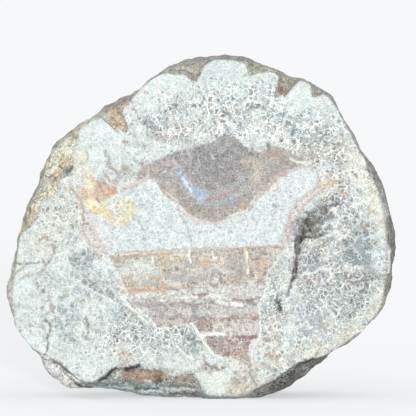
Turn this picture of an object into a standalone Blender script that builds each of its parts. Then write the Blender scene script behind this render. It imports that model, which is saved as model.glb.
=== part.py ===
"""A thick slice of petrified wood that stands on its worn lower edge, made as the one stone that it is.

The front face is sawn flat and polished, the back is sawn flat, and the weathered rind of the old log runs round
between them. The frame is +Z up, with the polished face towards -Y and the origin under the middle of the slice.
"""

import math

import bmesh
import bpy
from mathutils import Vector, noise

# Driving sizes, in metres
THICKNESS = 0.040
COLUMNS = 300  # points round the rim
ROUGHNESS = 0.0014  # how far the rind's relief stands in and out
CHIP_DEPTH = 0.0022  # how far the broken ledges below the face are set back
CHIP_STEPS = 3  # ledges from the shallowest chip to the deepest
WIDE_BEVEL = 0.009  # where the rim is this wide in front, it is broken into full ledges
BACK_SETBACK = 0.0042  # how far the back's edge lies inside the widest outline
BACK_WANDER = 0.0022  # how much that setback varies
OUTSIDE = 0.002  # how far a crevice cutter starts in front of the polished face

# The point that the rim is measured round, in millimetres above the base
HEART = (0.0, 77.0)

# Widest outline of the rind, seen from the front: (x, z) in millimetres, clockwise from the top.
# It dips just under z = 0 where the flat resting edge is cut.
RIND_OUTLINE = [
    (9, 154.5), (15, 154), (20, 152.5), (23.5, 150.5), (27, 149), (32, 148), (36, 146), (40, 144), (44.5, 143.5),
    (48, 142), (51.5, 139.5), (55.5, 137.5), (59.5, 134.5), (63, 128.5), (66, 123), (69, 117), (72.5, 110.5),
    (77, 104), (81.5, 95.5), (84.5, 85.5), (86.5, 77), (88, 70.5), (87.5, 61.5), (85.5, 52), (83, 44.5),
    (79.5, 38), (74.5, 32.5), (69.5, 28), (66.5, 25), (60.5, 22), (57, 18.5), (52.5, 15), (49, 12.5), (46, 9),
    (41.5, 6), (36.5, 3), (30, 0), (23, -1.5), (12, -2), (3, -2), (-6, -1.5), (-14, -1), (-20, 0), (-26, 1),
    (-32, 2), (-39, 3), (-48.5, 4), (-57, 4.5), (-62, 5), (-66.5, 8), (-70, 12), (-72, 16), (-72.5, 19.5),
    (-75.5, 22), (-79.5, 27), (-84, 33.5), (-86, 41.5), (-87.5, 48.5), (-86.5, 54.5), (-84, 63.5), (-81, 78),
    (-78.5, 85.5), (-74.5, 93), (-72, 101.5), (-69, 108), (-65, 114), (-59.5, 119.5), (-54.5, 123),
    (-48.5, 126.5), (-43, 130.5), (-34.5, 135), (-27, 139.5), (-22, 144.5), (-16, 148), (-7, 151.5), (3, 153.5),
]

# Edge of the polished face, with the chips and open seams that bite into it: (x, z) in millimetres, clockwise.
FACE_OUTLINE = [
    (3, 151), (7, 152.5), (15, 152), (20, 150), (20.5, 147.5), (21, 145), (23, 145), (27, 146), (31, 146.5),
    (34, 145.5), (35, 143), (33.5, 140.5), (32.5, 135), (36, 134.5), (39, 137), (39, 140.5), (42, 143),
    (45, 143), (49, 141), (49.5, 136), (51, 134.5), (52.5, 137), (55, 137), (58.5, 133.5), (63, 126.5),
    (64.5, 124), (68, 117), (70, 113), (73.5, 106), (74.5, 101.5), (77, 97), (79.5, 92.5), (82, 85.5),
    (82.5, 78.5), (83.5, 70.5), (84.5, 66), (85, 59), (83, 53.5), (81.5, 47), (79, 40), (76, 35.5), (72, 30.5),
    (67.5, 28.5), (63, 25), (59.5, 22), (54, 19.5), (48.5, 18.5), (43.5, 16), (40, 13.5), (36.5, 11.5),
    (33, 9.5), (29, 7.5), (24, 4.5), (18, 2), (12, 1.5), (7, 2), (3, 2), (0.5, 5), (-1, 8.5), (-4.5, 13),
    (-11, 11), (-14, 11.5), (-19, 14), (-26, 16), (-33, 14.5), (-38.5, 14.5), (-43, 11.5), (-47, 8.5),
    (-52, 8.5), (-56.5, 10.5), (-61, 14), (-65, 17), (-69.5, 19.5), (-73, 20.5), (-78.5, 26), (-83, 33),
    (-84.5, 41.5), (-84.5, 48.5), (-84, 54), (-83, 61.5), (-82, 69), (-80, 75), (-74, 79.5), (-72.5, 84.5),
    (-70, 89), (-65, 92), (-62.5, 96), (-63.5, 98.5), (-61, 99.5), (-58, 101), (-57.5, 104.5), (-58, 108),
    (-56, 113), (-54.5, 118.5), (-52, 122), (-47.5, 125.5), (-41.5, 126.5), (-39, 125.5), (-36.5, 120),
    (-34, 116), (-32.5, 118.5), (-31, 122), (-33.5, 125), (-35, 128.5), (-32, 132.5), (-29, 137.5),
    (-22, 144), (-16, 146.5), (-12.5, 145.5), (-7, 144.5), (-3, 142), (-1, 143.5), (0.5, 147.5),
]

# Rows of the rim, from the polished face to the widest outline: (depth in metres, share of the way out)
FRONT_ROWS = [(0.0, 0.0), (0.0012, 0.32), (0.0035, 0.62), (0.007, 0.85), (0.012, 0.97), (0.018, 1.0)]
# Rows from there to the back's edge: (depth in metres, share of the way out)
BACK_ROWS = [(0.0245, 1.0), (0.0305, 0.92), (0.035, 0.7), (0.0383, 0.36), (THICKNESS, 0.0)]

# Open seams and pits in the face: (x, z, width, depth) in millimetres along the middle of each.
CREVICES = {
    "ravine_cutter": [
        (63, 88.5, 1.0, 1.0), (57, 86.5, 3.2, 3.0), (51.5, 82.5, 5.0, 4.5), (46.5, 77, 5.0, 5.0),
        (43.6, 71, 4.0, 4.5), (43, 65, 2.8, 3.5), (42.2, 58.5, 1.8, 2.5), (40.6, 52.5, 1.2, 2.0),
        (38.8, 47, 0.6, 1.0),
    ],
    "lower_lobe_cutter": [
        (-75, 22, 1.0, 3.0), (-69.5, 18.8, 1.8, 5.0), (-64.5, 15.2, 2.8, 7.0), (-60, 11.6, 2.6, 8.0),
        (-56, 8.4, 1.8, 8.0), (-51.5, 6.4, 1.8, 8.0), (-46.5, 6.6, 2.4, 8.0), (-42.2, 9.6, 2.8, 7.0),
        (-38.6, 12.8, 2.4, 6.0), (-34.5, 13.6, 1.6, 4.0), (-30, 14.6, 0.8, 2.0),
    ],
    "right_fold_cutter": [
        (88, 56.5, 3.0, 6.0), (83, 55.2, 2.6, 4.0), (78.5, 54.4, 2.2, 2.5), (75.2, 54.2, 1.4, 1.6),
    ],
    "right_crack_cutter": [(73.8, 53, 0.8, 1.2), (73.6, 49.5, 1.2, 1.8), (72.8, 46, 0.5, 0.8)],
    "blue_pit_cutter": [(-57.6, 109, 1.2, 1.5), (-58.8, 104.5, 3.4, 3.6), (-61, 100.5, 2.8, 2.8)],
    "dark_drop_cutter": [(34.4, 46, 0.5, 0.6), (34.8, 42.5, 1.8, 1.6), (35.6, 39.5, 1.4, 1.0)],
    "left_crack_cutter": [
        (-70.4, 36.5, 0.5, 0.8), (-67.2, 32.6, 0.9, 1.6), (-68.8, 27, 0.9, 2.0), (-69.8, 21, 1.0, 3.0),
    ],
}

STONE_COLOUR = (0.62, 0.62, 0.57, 1.0)
STONE_ROUGHNESS = 0.5
SHARP_ANGLE = math.radians(32)


def metres(*millimetres):
    return [value / 1000 for value in millimetres]


def clear_scene():
    for old in list(bpy.data.objects):
        bpy.data.objects.remove(old)


def smooth_loop(points, steps=5):
    """The closed outline through these points, as a Catmull-Rom curve."""
    found = []
    count = len(points)
    for index in range(count):
        before, start, end, after = (Vector(points[(index + shift) % count]) for shift in (-1, 0, 1, 2))
        for step in range(steps):
            t = step / steps
            found.append(
                0.5 * (2 * start + (end - before) * t + (2 * before - 5 * start + 4 * end - after) * t * t
                       + (3 * start - before - 3 * end + after) * t ** 3)
            )
    return found


def polar_outline(points):
    """(bearing, radius) round the heart, in radians and metres, in order of bearing and with both ends repeated."""
    middle = Vector(metres(*HEART))
    spokes = [Vector(metres(*point)) - middle for point in smooth_loop(points)]
    found = sorted((math.atan2(spoke.y, spoke.x), spoke.length) for spoke in spokes)
    first, last = found[0], found[-1]
    return [(last[0] - math.tau, last[1]), *found, (first[0] + math.tau, first[1])]


def radius_at(outline, bearing):
    """The outline's radius at this bearing, between the two points on either side of it."""
    for (low, near), (high, far) in zip(outline, outline[1:]):
        if low <= bearing <= high:
            share = (bearing - low) / max(high - low, 1e-9)
            return near + (far - near) * share
    return outline[-1][1]


def bark_relief(x, y, z):
    """Ridges and hollows of the rind, drawn out along the log's axis, from about -1 to 1."""
    broad = noise.fractal(Vector((x * 60, y * 22, z * 60)), 0.8, 2.0, 3)
    fine = noise.fractal(Vector((x * 210 + 7, y * 120, z * 210)), 0.9, 2.0, 3)
    return 0.75 * broad + 0.45 * fine


def broken_ledge(x, z, bevel_width):
    """How far a chip sets the rim back at this place: flat steps, deepest where the rim is wide in front."""
    height = 0.5 + 0.5 * noise.fractal(Vector((x * 85, 3, z * 120)), 0.7, 2.0, 2)
    step = math.floor(height * (CHIP_STEPS + 1)) / CHIP_STEPS
    return CHIP_DEPTH * max(0.0, min(1.0, step)) * min(1.0, bevel_width / WIDE_BEVEL)


def ring(mesh, depth, radii, relief, bevel_widths):
    """One loop of points round the rim, at this depth behind the polished face."""
    made = []
    for column, (radius, bevel_width) in enumerate(zip(radii, bevel_widths)):
        bearing = math.tau * column / COLUMNS - math.pi
        x, z = radius * math.cos(bearing), radius * math.sin(bearing) + HEART[1] / 1000
        reach = radius + relief * bark_relief(x, depth, z)
        chipped = depth + broken_ledge(x, z, bevel_width)
        made.append(
            mesh.verts.new((reach * math.cos(bearing), chipped - THICKNESS / 2,
                            reach * math.sin(bearing) + HEART[1] / 1000))
        )
    return made


def stone_rings(mesh):
    """The rim's loops, front to back: out from the face's edge to the widest outline, and in again to the back."""
    bearings = [math.tau * column / COLUMNS - math.pi for column in range(COLUMNS)]
    face, rind = polar_outline(FACE_OUTLINE), polar_outline(RIND_OUTLINE)
    face_radii = [radius_at(face, bearing) for bearing in bearings]
    rind_radii = [radius_at(rind, bearing) for bearing in bearings]
    back_radii = [
        radius - BACK_SETBACK - BACK_WANDER * noise.noise(Vector((3 * math.cos(bearing), 3 * math.sin(bearing), 5)))
        for radius, bearing in zip(rind_radii, bearings)
    ]
    rings = []
    for inner_radii, rows in ((face_radii, FRONT_ROWS), (back_radii, BACK_ROWS)):
        for depth, share in rows:
            radii = [inner + (outer - inner) * share for inner, outer in zip(inner_radii, rind_radii)]
            at_edge = depth in (0.0, THICKNESS)
            chipped = share < 1.0 and not at_edge and rows is FRONT_ROWS
            bevels = [outer - inner if chipped else 0.0 for inner, outer in zip(inner_radii, rind_radii)]
            rings.append(ring(mesh, depth, radii, ROUGHNESS * (0.35 if at_edge else 1.0), bevels))
    return rings


def petrified_wood_slice():
    """The whole stone: the rim's loops bridged, both sawn faces closed, and the resting edge cut flat."""
    mesh = bmesh.new()
    rings = stone_rings(mesh)
    for near, far in zip(rings, rings[1:]):
        for column in range(COLUMNS):
            after = (column + 1) % COLUMNS
            mesh.faces.new((near[column], far[column], far[after], near[after]))
    mesh.faces.new(rings[0])
    mesh.faces.new(reversed(rings[-1]))
    everything = mesh.verts[:] + mesh.edges[:] + mesh.faces[:]
    cut = bmesh.ops.bisect_plane(mesh, geom=everything, plane_co=(0, 0, 0), plane_no=(0, 0, -1), clear_outer=True)
    rest_edges = [part for part in cut["geom_cut"] if isinstance(part, bmesh.types.BMEdge)]
    bmesh.ops.edgeloop_fill(mesh, edges=rest_edges)
    bmesh.ops.recalc_face_normals(mesh, faces=mesh.faces[:])
    data = bpy.data.meshes.new("petrified_wood_slice")
    mesh.to_mesh(data)
    mesh.free()
    stone = bpy.data.objects.new("petrified_wood_slice", data)
    bpy.context.scene.collection.objects.link(stone)
    return stone


def crevice_cutter(name, path):
    """A V-shaped wedge along a path in the polished face. It starts in front of the face and ends at its depth."""
    mesh = bmesh.new()
    points = [Vector(metres(x, z)) for x, z, width, depth in path]
    sections = []
    for index, (x, z, width, depth) in enumerate(path):
        along = points[min(index + 1, len(path) - 1)] - points[max(index - 1, 0)]
        across = Vector((along.y, -along.x)).normalized()
        width, depth = metres(width, depth)
        reach = width / 2 * (depth + OUTSIDE) / depth
        left, right = points[index] + across * reach, points[index] - across * reach
        front = -THICKNESS / 2
        sections.append([
            mesh.verts.new((left.x, front - OUTSIDE, left.y)),
            mesh.verts.new((right.x, front - OUTSIDE, right.y)),
            mesh.verts.new((points[index].x, front + depth, points[index].y)),
        ])
    for near, far in zip(sections, sections[1:]):
        for side in range(3):
            after = (side + 1) % 3
            mesh.faces.new((near[side], near[after], far[after], far[side]))
    mesh.faces.new(sections[0])
    mesh.faces.new(sections[-1])
    bmesh.ops.recalc_face_normals(mesh, faces=mesh.faces[:])
    data = bpy.data.meshes.new(name)
    mesh.to_mesh(data)
    mesh.free()
    cutter = bpy.data.objects.new(name, data)
    cutter.hide_render = True
    cutter.display_type = "WIRE"
    bpy.context.scene.collection.objects.link(cutter)
    return cutter


def cut_crevices(stone):
    for name, path in CREVICES.items():
        cut = stone.modifiers.new(name, "BOOLEAN")
        cut.operation = "DIFFERENCE"
        cut.solver = "EXACT"
        cut.object = crevice_cutter(name, path)


def centre_on_base(stone):
    """Moves the stone so that the origin is under the middle of its box, on the plane that it rests on."""
    xs, ys, _ = zip(*(vertex.co for vertex in stone.data.vertices))
    shift = Vector((-(min(xs) + max(xs)) / 2, -(min(ys) + max(ys)) / 2, 0))
    for thing in bpy.data.objects:
        for vertex in thing.data.vertices:
            vertex.co += shift


def stone_material():
    material = bpy.data.materials.new("petrified_wood")
    material.use_nodes = True
    shader = material.node_tree.nodes["Principled BSDF"]
    shader.inputs["Base Color"].default_value = STONE_COLOUR
    shader.inputs["Roughness"].default_value = STONE_ROUGHNESS
    shader.inputs["Metallic"].default_value = 0.0
    return material


def main():
    clear_scene()
    stone = petrified_wood_slice()
    stone.data.materials.append(stone_material())
    stone.data.shade_smooth()
    stone.data.set_sharp_from_angle(angle=SHARP_ANGLE)
    cut_crevices(stone)
    centre_on_base(stone)


main()
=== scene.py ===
import math

import bmesh
import bpy
import numpy as np
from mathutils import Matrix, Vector, noise


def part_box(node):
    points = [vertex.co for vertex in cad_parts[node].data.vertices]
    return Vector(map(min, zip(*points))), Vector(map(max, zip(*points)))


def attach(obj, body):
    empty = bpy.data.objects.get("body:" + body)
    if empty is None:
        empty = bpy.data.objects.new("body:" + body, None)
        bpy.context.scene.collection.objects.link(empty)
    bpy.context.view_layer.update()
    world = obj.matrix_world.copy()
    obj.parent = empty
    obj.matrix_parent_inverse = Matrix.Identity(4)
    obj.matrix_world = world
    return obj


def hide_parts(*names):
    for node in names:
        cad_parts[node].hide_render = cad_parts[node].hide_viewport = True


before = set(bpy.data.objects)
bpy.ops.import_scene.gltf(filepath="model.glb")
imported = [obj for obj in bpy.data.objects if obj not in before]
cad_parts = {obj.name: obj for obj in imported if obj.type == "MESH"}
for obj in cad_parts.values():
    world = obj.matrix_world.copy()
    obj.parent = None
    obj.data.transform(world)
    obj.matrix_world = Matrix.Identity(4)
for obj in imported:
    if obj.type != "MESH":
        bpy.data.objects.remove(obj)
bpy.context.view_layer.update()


# View and studio
# The slice stands on a white sweep in a bright room, with one low, soft light near the camera. The camera
# looks straight at the polished face from a little above, and from so far off that its rim hardly narrows.

AIM = Vector((0.0031, -0.010, 0.0855))  # the middle of the picture
CAMERA_DISTANCE = 2.0
CAMERA_ELEVATION = math.radians(3)
FRAME_WIDTH = 0.1872  # what the picture spans from side to side at the slice
SENSOR = 36.0  # width of the camera's sensor, in millimetres
FLOOR_SIZE = 60.0
BACKGROUND = (0.930, 0.937, 0.953)
PAPER = (0.868, 0.875, 0.890)
GLOW = 0.5  # share of the sweep's brightness that is its own, which keeps the shadows on it faint
AMBIENT = 0.95
KEY_POWER = 2.6
KEY_TURN, KEY_RISE, KEY_SOFTNESS = 5.7, 8.2, 4.0  # in degrees


def put(tree, kind, inputs=None, **settings):
    """Adds a node with these settings. Each input is a plain value or another node's output."""
    node = tree.nodes.new(kind)
    for name, value in settings.items():
        setattr(node, name, value)
    for socket, value in (inputs or {}).items():
        if isinstance(value, bpy.types.NodeSocket):
            tree.links.new(value, node.inputs[socket])
        else:
            node.inputs[socket].default_value = value
    return node


back = Vector((0, -math.cos(CAMERA_ELEVATION), math.sin(CAMERA_ELEVATION)))
lens = bpy.data.cameras.new("camera")
lens.sensor_width = SENSOR
lens.lens = SENSOR * CAMERA_DISTANCE / FRAME_WIDTH
camera = bpy.data.objects.new("camera", lens)
camera.location = AIM + back * CAMERA_DISTANCE
camera.rotation_euler = back.to_track_quat("Z", "Y").to_euler()
bpy.context.scene.collection.objects.link(camera)
bpy.context.scene.camera = camera
bpy.context.scene.view_settings.view_transform = "Standard"

turn, rise = math.radians(KEY_TURN), math.radians(KEY_RISE)
towards_key = Vector((math.sin(turn) * math.cos(rise), -math.cos(turn) * math.cos(rise), math.sin(rise)))
key_data = bpy.data.lights.new("key_light", "SUN")
key_data.energy = KEY_POWER
key_data.angle = math.radians(KEY_SOFTNESS)
key_light = bpy.data.objects.new("key_light", key_data)
key_light.rotation_euler = towards_key.to_track_quat("Z", "Y").to_euler()
bpy.context.scene.collection.objects.link(key_light)

world = bpy.data.worlds.new("studio")
bpy.context.scene.world = world
world.use_nodes = True
sky = world.node_tree
sky.nodes.clear()
shown = put(sky, "ShaderNodeBackground", {"Color": (*BACKGROUND, 1)})
lighting = put(sky, "ShaderNodeBackground", {"Color": (1, 1, 1, 1), "Strength": AMBIENT})
camera_sees = put(sky, "ShaderNodeLightPath").outputs["Is Camera Ray"]
chosen = put(sky, "ShaderNodeMixShader", {0: camera_sees, 1: lighting.outputs[0], 2: shown.outputs[0]})
put(sky, "ShaderNodeOutputWorld", {"Surface": chosen.outputs[0]})

floor_mesh = bmesh.new()
bmesh.ops.create_grid(floor_mesh, x_segments=1, y_segments=1, size=FLOOR_SIZE / 2)
floor_data = bpy.data.meshes.new("floor")
floor_mesh.to_mesh(floor_data)
floor_mesh.free()
floor = bpy.data.objects.new("floor", floor_data)
bpy.context.scene.collection.objects.link(floor)
paper = bpy.data.materials.new("white_sweep")
paper.use_nodes = True
paper.node_tree.nodes.clear()
matt = put(paper.node_tree, "ShaderNodeBsdfDiffuse", {"Color": [value * (1 - GLOW) for value in PAPER] + [1]})
glow = put(paper.node_tree, "ShaderNodeEmission", {"Color": (*BACKGROUND, 1), "Strength": GLOW})
lit_paper = put(paper.node_tree, "ShaderNodeAddShader", {0: matt.outputs[0], 1: glow.outputs[0]})
put(paper.node_tree, "ShaderNodeOutputMaterial", {"Surface": lit_paper.outputs[0]})
floor_data.materials.append(paper)


# Slice
# The real piece is one thick cross-cut of a silicified log: the front sawn and polished, the back left as
# sawn, and the log's weathered rind all round. It is a single stone, and stands on a worn flat of its edge.

STONE = "petrified_wood_slice"
MM = 1000  # millimetres in a metre
MERGE_DISTANCE = 1e-6
SKIN_CELL = 0.00057  # edge of the fine mesh's faces on the polished front
FACE_SKIN = 0.0012  # the mesh stays that fine this far behind the front
KEPT_FACES = 0.435  # share of all the faces that is left once the mesh is thinned further back
ROUNDING = 8  # smoothing passes over the rim's facets
BARK_RELIEF, GRIT_RELIEF = 0.0022, 0.0006  # full height of the rind's lumps and of its grit
BARK_FINENESS, GRIT_FINENESS = 170, 620  # lumps in a metre
LOG_STRETCH = (1, 0.45, 1)  # the bark's lumps are longer along the log, which is Y
RIND_START, RIND_FULL = 0.0003, 0.003  # distances from the front and the back over which the relief sets in
SAW_DEPTH, SAW_PITCH = 0.00004, 0.0024
SAW_CENTRE = (0.22, 0.0, 0.34)  # the saw marks are arcs round this place
SAWN_START, SAWN_FULL = 0.0004, 0.0001  # distances from the back over which the saw marks set in
ON_FACE = (1, 0, 1)  # keeps x and z and drops the depth
stone_low, stone_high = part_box(STONE)
FRONT, BACK = stone_low.y, stone_high.y


def calc(tree, operation, *values):
    """One Math node's result."""
    return put(tree, "ShaderNodeMath", dict(enumerate(values)), operation=operation).outputs[0]


def span(tree, value, low, high, to_low=0.0, to_high=1.0, kind="SMOOTHSTEP"):
    """Maps low..high to to_low..to_high, with a soft start and end unless kind is LINEAR."""
    inputs = {"Value": value, "From Min": low, "From Max": high, "To Min": to_low, "To Max": to_high}
    return put(tree, "ShaderNodeMapRange", inputs, interpolation_type=kind).outputs["Result"]


def vector_calc(tree, operation, *values):
    """One Vector Math node's result."""
    node = put(tree, "ShaderNodeVectorMath", dict(enumerate(values)), operation=operation)
    return node.outputs["Value" if operation in ("DOT_PRODUCT", "LENGTH", "DISTANCE") else "Vector"]


def scaled(tree, vector, factor):
    """The vector times this factor."""
    return put(tree, "ShaderNodeVectorMath", {0: vector, "Scale": factor}, operation="SCALE").outputs[0]


def weathered_rind():
    """Geometry Nodes that round off the rim's facets, raise the bark's relief and saw-mark the back."""
    tree = bpy.data.node_groups.new("weathered_rind", "GeometryNodeTree")
    tree.interface.new_socket("Geometry", in_out="INPUT", socket_type="NodeSocketGeometry")
    for label in ("Front", "Back", "Bark relief", "Grit", "Saw depth", "Saw pitch"):
        tree.interface.new_socket(label, in_out="INPUT", socket_type="NodeSocketFloat")
    tree.interface.new_socket("Stone", in_out="INPUT", socket_type="NodeSocketMaterial")
    tree.interface.new_socket("Geometry", in_out="OUTPUT", socket_type="NodeSocketGeometry")
    given = put(tree, "NodeGroupInput").outputs
    place = put(tree, "GeometryNodeInputPosition").outputs[0]
    depth = put(tree, "ShaderNodeSeparateXYZ", {0: place}).outputs["Y"]
    behind_face = calc(tree, "SUBTRACT", depth, given["Front"])
    before_back = calc(tree, "SUBTRACT", given["Back"], depth)
    rind = calc(tree, "MULTIPLY", span(tree, behind_face, RIND_START, RIND_FULL),
                span(tree, before_back, RIND_START, RIND_FULL))
    rounded = put(tree, "GeometryNodeBlurAttribute", {"Iterations": ROUNDING, "Weight": rind},
                  data_type="FLOAT_VECTOR")
    tree.links.new(place, rounded.inputs[0])
    smooth = put(tree, "GeometryNodeSetPosition", {
        "Geometry": given["Geometry"], "Position": rounded.outputs[0],
    })
    along_log = vector_calc(tree, "MULTIPLY", place, LOG_STRETCH)
    bark = put(tree, "ShaderNodeTexNoise", {
        "Vector": along_log, "Scale": BARK_FINENESS, "Detail": 4, "Roughness": 0.6,
    })
    grit = put(tree, "ShaderNodeTexNoise", {
        "Vector": place, "Scale": GRIT_FINENESS, "Detail": 2, "Roughness": 0.6,
    })
    bark_rise = calc(tree, "MULTIPLY", calc(tree, "SUBTRACT", bark.outputs[0], 0.5), given["Bark relief"])
    grit_rise = calc(tree, "MULTIPLY", calc(tree, "SUBTRACT", grit.outputs[0], 0.5), given["Grit"])
    rise = calc(tree, "MULTIPLY", calc(tree, "ADD", bark_rise, grit_rise), rind)
    normal = put(tree, "GeometryNodeInputNormal").outputs[0]
    raised = vector_calc(tree, "ADD", place, scaled(tree, normal, rise))
    lowest = (-1, -1, 0)  # the floor's height, and no limit sideways
    on_floor = vector_calc(tree, "MAXIMUM", raised, lowest)
    carved = put(tree, "GeometryNodeSetPosition", {"Geometry": smooth.outputs[0], "Position": on_floor})
    reach = vector_calc(tree, "DISTANCE", vector_calc(tree, "MULTIPLY", place, ON_FACE), SAW_CENTRE)
    turns = calc(tree, "MULTIPLY", calc(tree, "DIVIDE", reach, given["Saw pitch"]), math.tau)
    back_side = span(tree, before_back, SAWN_START, SAWN_FULL)
    bite = calc(tree, "MULTIPLY", calc(tree, "SUBTRACT", calc(tree, "SINE", turns), 1.0), back_side)
    sunk = calc(tree, "MULTIPLY", bite, given["Saw depth"])
    sawn_offset = put(tree, "ShaderNodeCombineXYZ", {"Y": sunk}).outputs[0]
    sawn = put(tree, "GeometryNodeSetPosition", {"Geometry": carved.outputs[0], "Offset": sawn_offset})
    real = put(tree, "GeometryNodeRealizeInstances", {"Geometry": sawn.outputs[0]})
    finished = put(tree, "GeometryNodeSetMaterial", {"Geometry": real.outputs[0], "Material": given["Stone"]})
    put(tree, "NodeGroupOutput", {0: finished.outputs[0]})
    return tree


def set_inputs(modifier, **values):
    """Sets a Geometry Nodes modifier's inputs by name, with _ for a space."""
    for item in modifier.node_group.interface.items_tree:
        if item.in_out == "INPUT" and item.name.replace(" ", "_") in values:
            modifier[item.identifier] = values[item.name.replace(" ", "_")]


def plain_mesh(work_piece):
    """The object's shape after its modifiers, as a mesh of its own."""
    depsgraph = bpy.context.evaluated_depsgraph_get()
    shape = work_piece.evaluated_get(depsgraph)
    return bpy.data.meshes.new_from_object(shape, preserve_all_data_layers=True, depsgraph=depsgraph)


def placed(name, mesh):
    """A new object of the scene with this mesh."""
    item = bpy.data.objects.new(name, mesh)
    bpy.context.scene.collection.objects.link(item)
    return item


def vertex_places(mesh):
    """Each vertex's x, y and z, in metres."""
    places = np.zeros(len(mesh.vertices) * 3, np.float32)
    mesh.vertices.foreach_get("co", places)
    return places.reshape(-1, 3).astype(float)


stone_look = bpy.data.materials.new("petrified_wood")
stone_look.use_nodes = True
stone_look.node_tree.nodes.clear()

cast = bmesh.new()
cast.from_mesh(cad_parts[STONE].data)
bmesh.ops.remove_doubles(cast, verts=cast.verts, dist=MERGE_DISTANCE)
cast_data = bpy.data.meshes.new("cast")
cast.to_mesh(cast_data)
cast.free()
rough = placed("rough_slice", cast_data)
skin = rough.modifiers.new("Fine skin", "REMESH")
skin.mode = "VOXEL"
skin.voxel_size = SKIN_CELL
fine = placed("fine_slice", plain_mesh(rough))
behind = fine.vertex_groups.new(name="behind the face")
behind.add(np.nonzero(vertex_places(fine.data)[:, 1] > FRONT + FACE_SKIN)[0].tolist(), 1.0, "REPLACE")
weather = fine.modifiers.new("Weathered rind", "NODES")
weather.node_group = weathered_rind()
set_inputs(weather, Front=FRONT, Back=BACK, Bark_relief=BARK_RELIEF, Grit=GRIT_RELIEF, Saw_depth=SAW_DEPTH,
           Saw_pitch=SAW_PITCH, Stone=stone_look)
thin = fine.modifiers.new("Thinner behind", "DECIMATE")
thin.vertex_group = behind.name
thin.ratio = KEPT_FACES
slice_data = plain_mesh(fine)
bpy.data.objects.remove(rough)
bpy.data.objects.remove(fine)
slice_data.shade_smooth()
polished_slice = placed("polished_slice", slice_data)

# Figure of the wood: where each zone of the log lies on the face, in millimetres from the middle of the base.
# Colours are given as they look in even light, save the patches and marks noted below as painted shade;
# outlines are the places that a smooth curve runs through.
# Patches are (colour, x, z, half width, half height, turn, strength), with the turn in degrees.

FACE_LIGHT, RIM_LIGHT = 1.76, 0.92  # the studio's light on face and rim, taken out of every colour
BRIGHTEST = 0.95  # no pigment reflects more than this
PIGMENTS = {
    "pale_mint": (226, 238, 233), "mint_white": (238, 250, 247), "cream_white": (242, 247, 236),
    "pale_blue": (206, 228, 234), "slate_blue": (150, 174, 180), "blue_grey": (176, 197, 200),
    "slate": (158, 172, 172), "dark_slate": (98, 107, 106), "warm_grey": (196, 193, 186),
    "steel": (136, 155, 158), "deep_slate": (136, 148, 148), "olive_grey": (170, 167, 150),
    "stone_grey": (158, 156, 152), "straw_white": (230, 230, 206), "straw_grey": (200, 197, 170),
    "straw": (244, 222, 152), "ochre": (212, 182, 130), "rust": (200, 148, 112), "tan": (208, 192, 164),
    "brown": (160, 134, 112), "brown_grey": (172, 153, 138), "dark_brown": (84, 77, 71),
    "black_brown": (46, 43, 41), "lavender": (158, 170, 180), "moss": (140, 164, 142),
    "dark_blue": (112, 130, 144), "white": (255, 255, 249), "rosy_brown": (192, 164, 150),
    "rose_white": (234, 224, 218), "rose": (212, 182, 171), "orange_brown": (206, 165, 130),
    "mauve": (164, 150, 148), "dark_mauve": (148, 130, 131), "maroon": (157, 98, 83),
    "dark_maroon": (132, 86, 77), "grey_rose": (212, 203, 198), "purple_grey": (116, 113, 117),
    "dove": (150, 149, 147), "taupe": (156, 143, 130), "sky": (164, 194, 226),
    "blue_steel": (150, 163, 177), "ice": (232, 243, 240), "ice_blue": (214, 229, 234),
    "red_brown": (190, 134, 118), "seam": (104, 97, 89), "teal_grey": (122, 140, 144),
    "dark_teal": (72, 88, 92), "deep_steel": (112, 130, 134), "bark_grey": (112, 107, 102),
    "ravine_grey": (124, 127, 122), "rim_rust": (188, 160, 136), "apricot": (232, 198, 152),
    "blush": (222, 203, 198), "brick": (160, 128, 118), "cream_yellow": (243, 238, 212),
}
PALE_BAND = [
    (-53, 89.5), (-47.5, 89.5), (-42, 91), (-34.5, 94), (-28.5, 97), (-22, 100), (-19, 95.5), (-16, 91),
    (-9.5, 87.5), (-5.5, 83), (3, 80), (7.5, 79.5), (12.5, 81.5), (20, 84.5), (22, 88), (28.5, 94),
    (34.5, 101), (41, 103.5), (49.5, 104.5), (52, 101), (52, 97), (47, 91.5), (43, 88), (39.5, 82),
    (37.5, 76), (36, 70), (18, 68.5), (3, 67.5), (-12, 66.5), (-27, 65.5), (-39, 64.5), (-43, 68),
    (-47, 73.5), (-50, 78.5), (-52, 84.5),
]
HEARTWOOD = [
    (-27.5, 97.5), (-22, 100.5), (-19, 95.5), (-16, 91), (-9.5, 87.5), (-5.5, 83), (3, 80), (7.5, 79.5),
    (12.5, 81.5), (20, 84.5), (22, 88), (28.5, 94), (34.5, 101), (41, 103.5), (47, 105), (45.5, 108),
    (41.5, 110.5), (37, 113), (32, 113.5), (27.5, 111.5), (22, 112), (18, 115.5), (14, 118.3), (8.5, 118.3),
    (3, 115), (-5.5, 112.5), (-12, 111), (-18.5, 108), (-25, 105), (-28.5, 101.5),
]
BANDED_WOOD = [
    (-39.5, 64), (-27, 65), (-12, 66), (3, 67), (18, 68), (37.5, 69), (35.5, 65), (32, 60.5), (29, 56.5),
    (29, 52), (27.5, 47), (25.5, 43), (26, 37), (25.5, 29), (22.5, 26), (21.5, 21), (22.5, 14.5),
    (19.5, 16), (17.5, 17), (13, 19), (9, 19.5), (6, 20.5), (3, 23.5), (1.5, 27.5), (-1, 30.5), (-3, 34.5),
    (-10.5, 33.5), (-18.5, 32.5), (-20.5, 34), (-23.5, 37.5), (-27, 40), (-31.5, 45), (-34, 51),
    (-36, 54.5),
]
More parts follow.
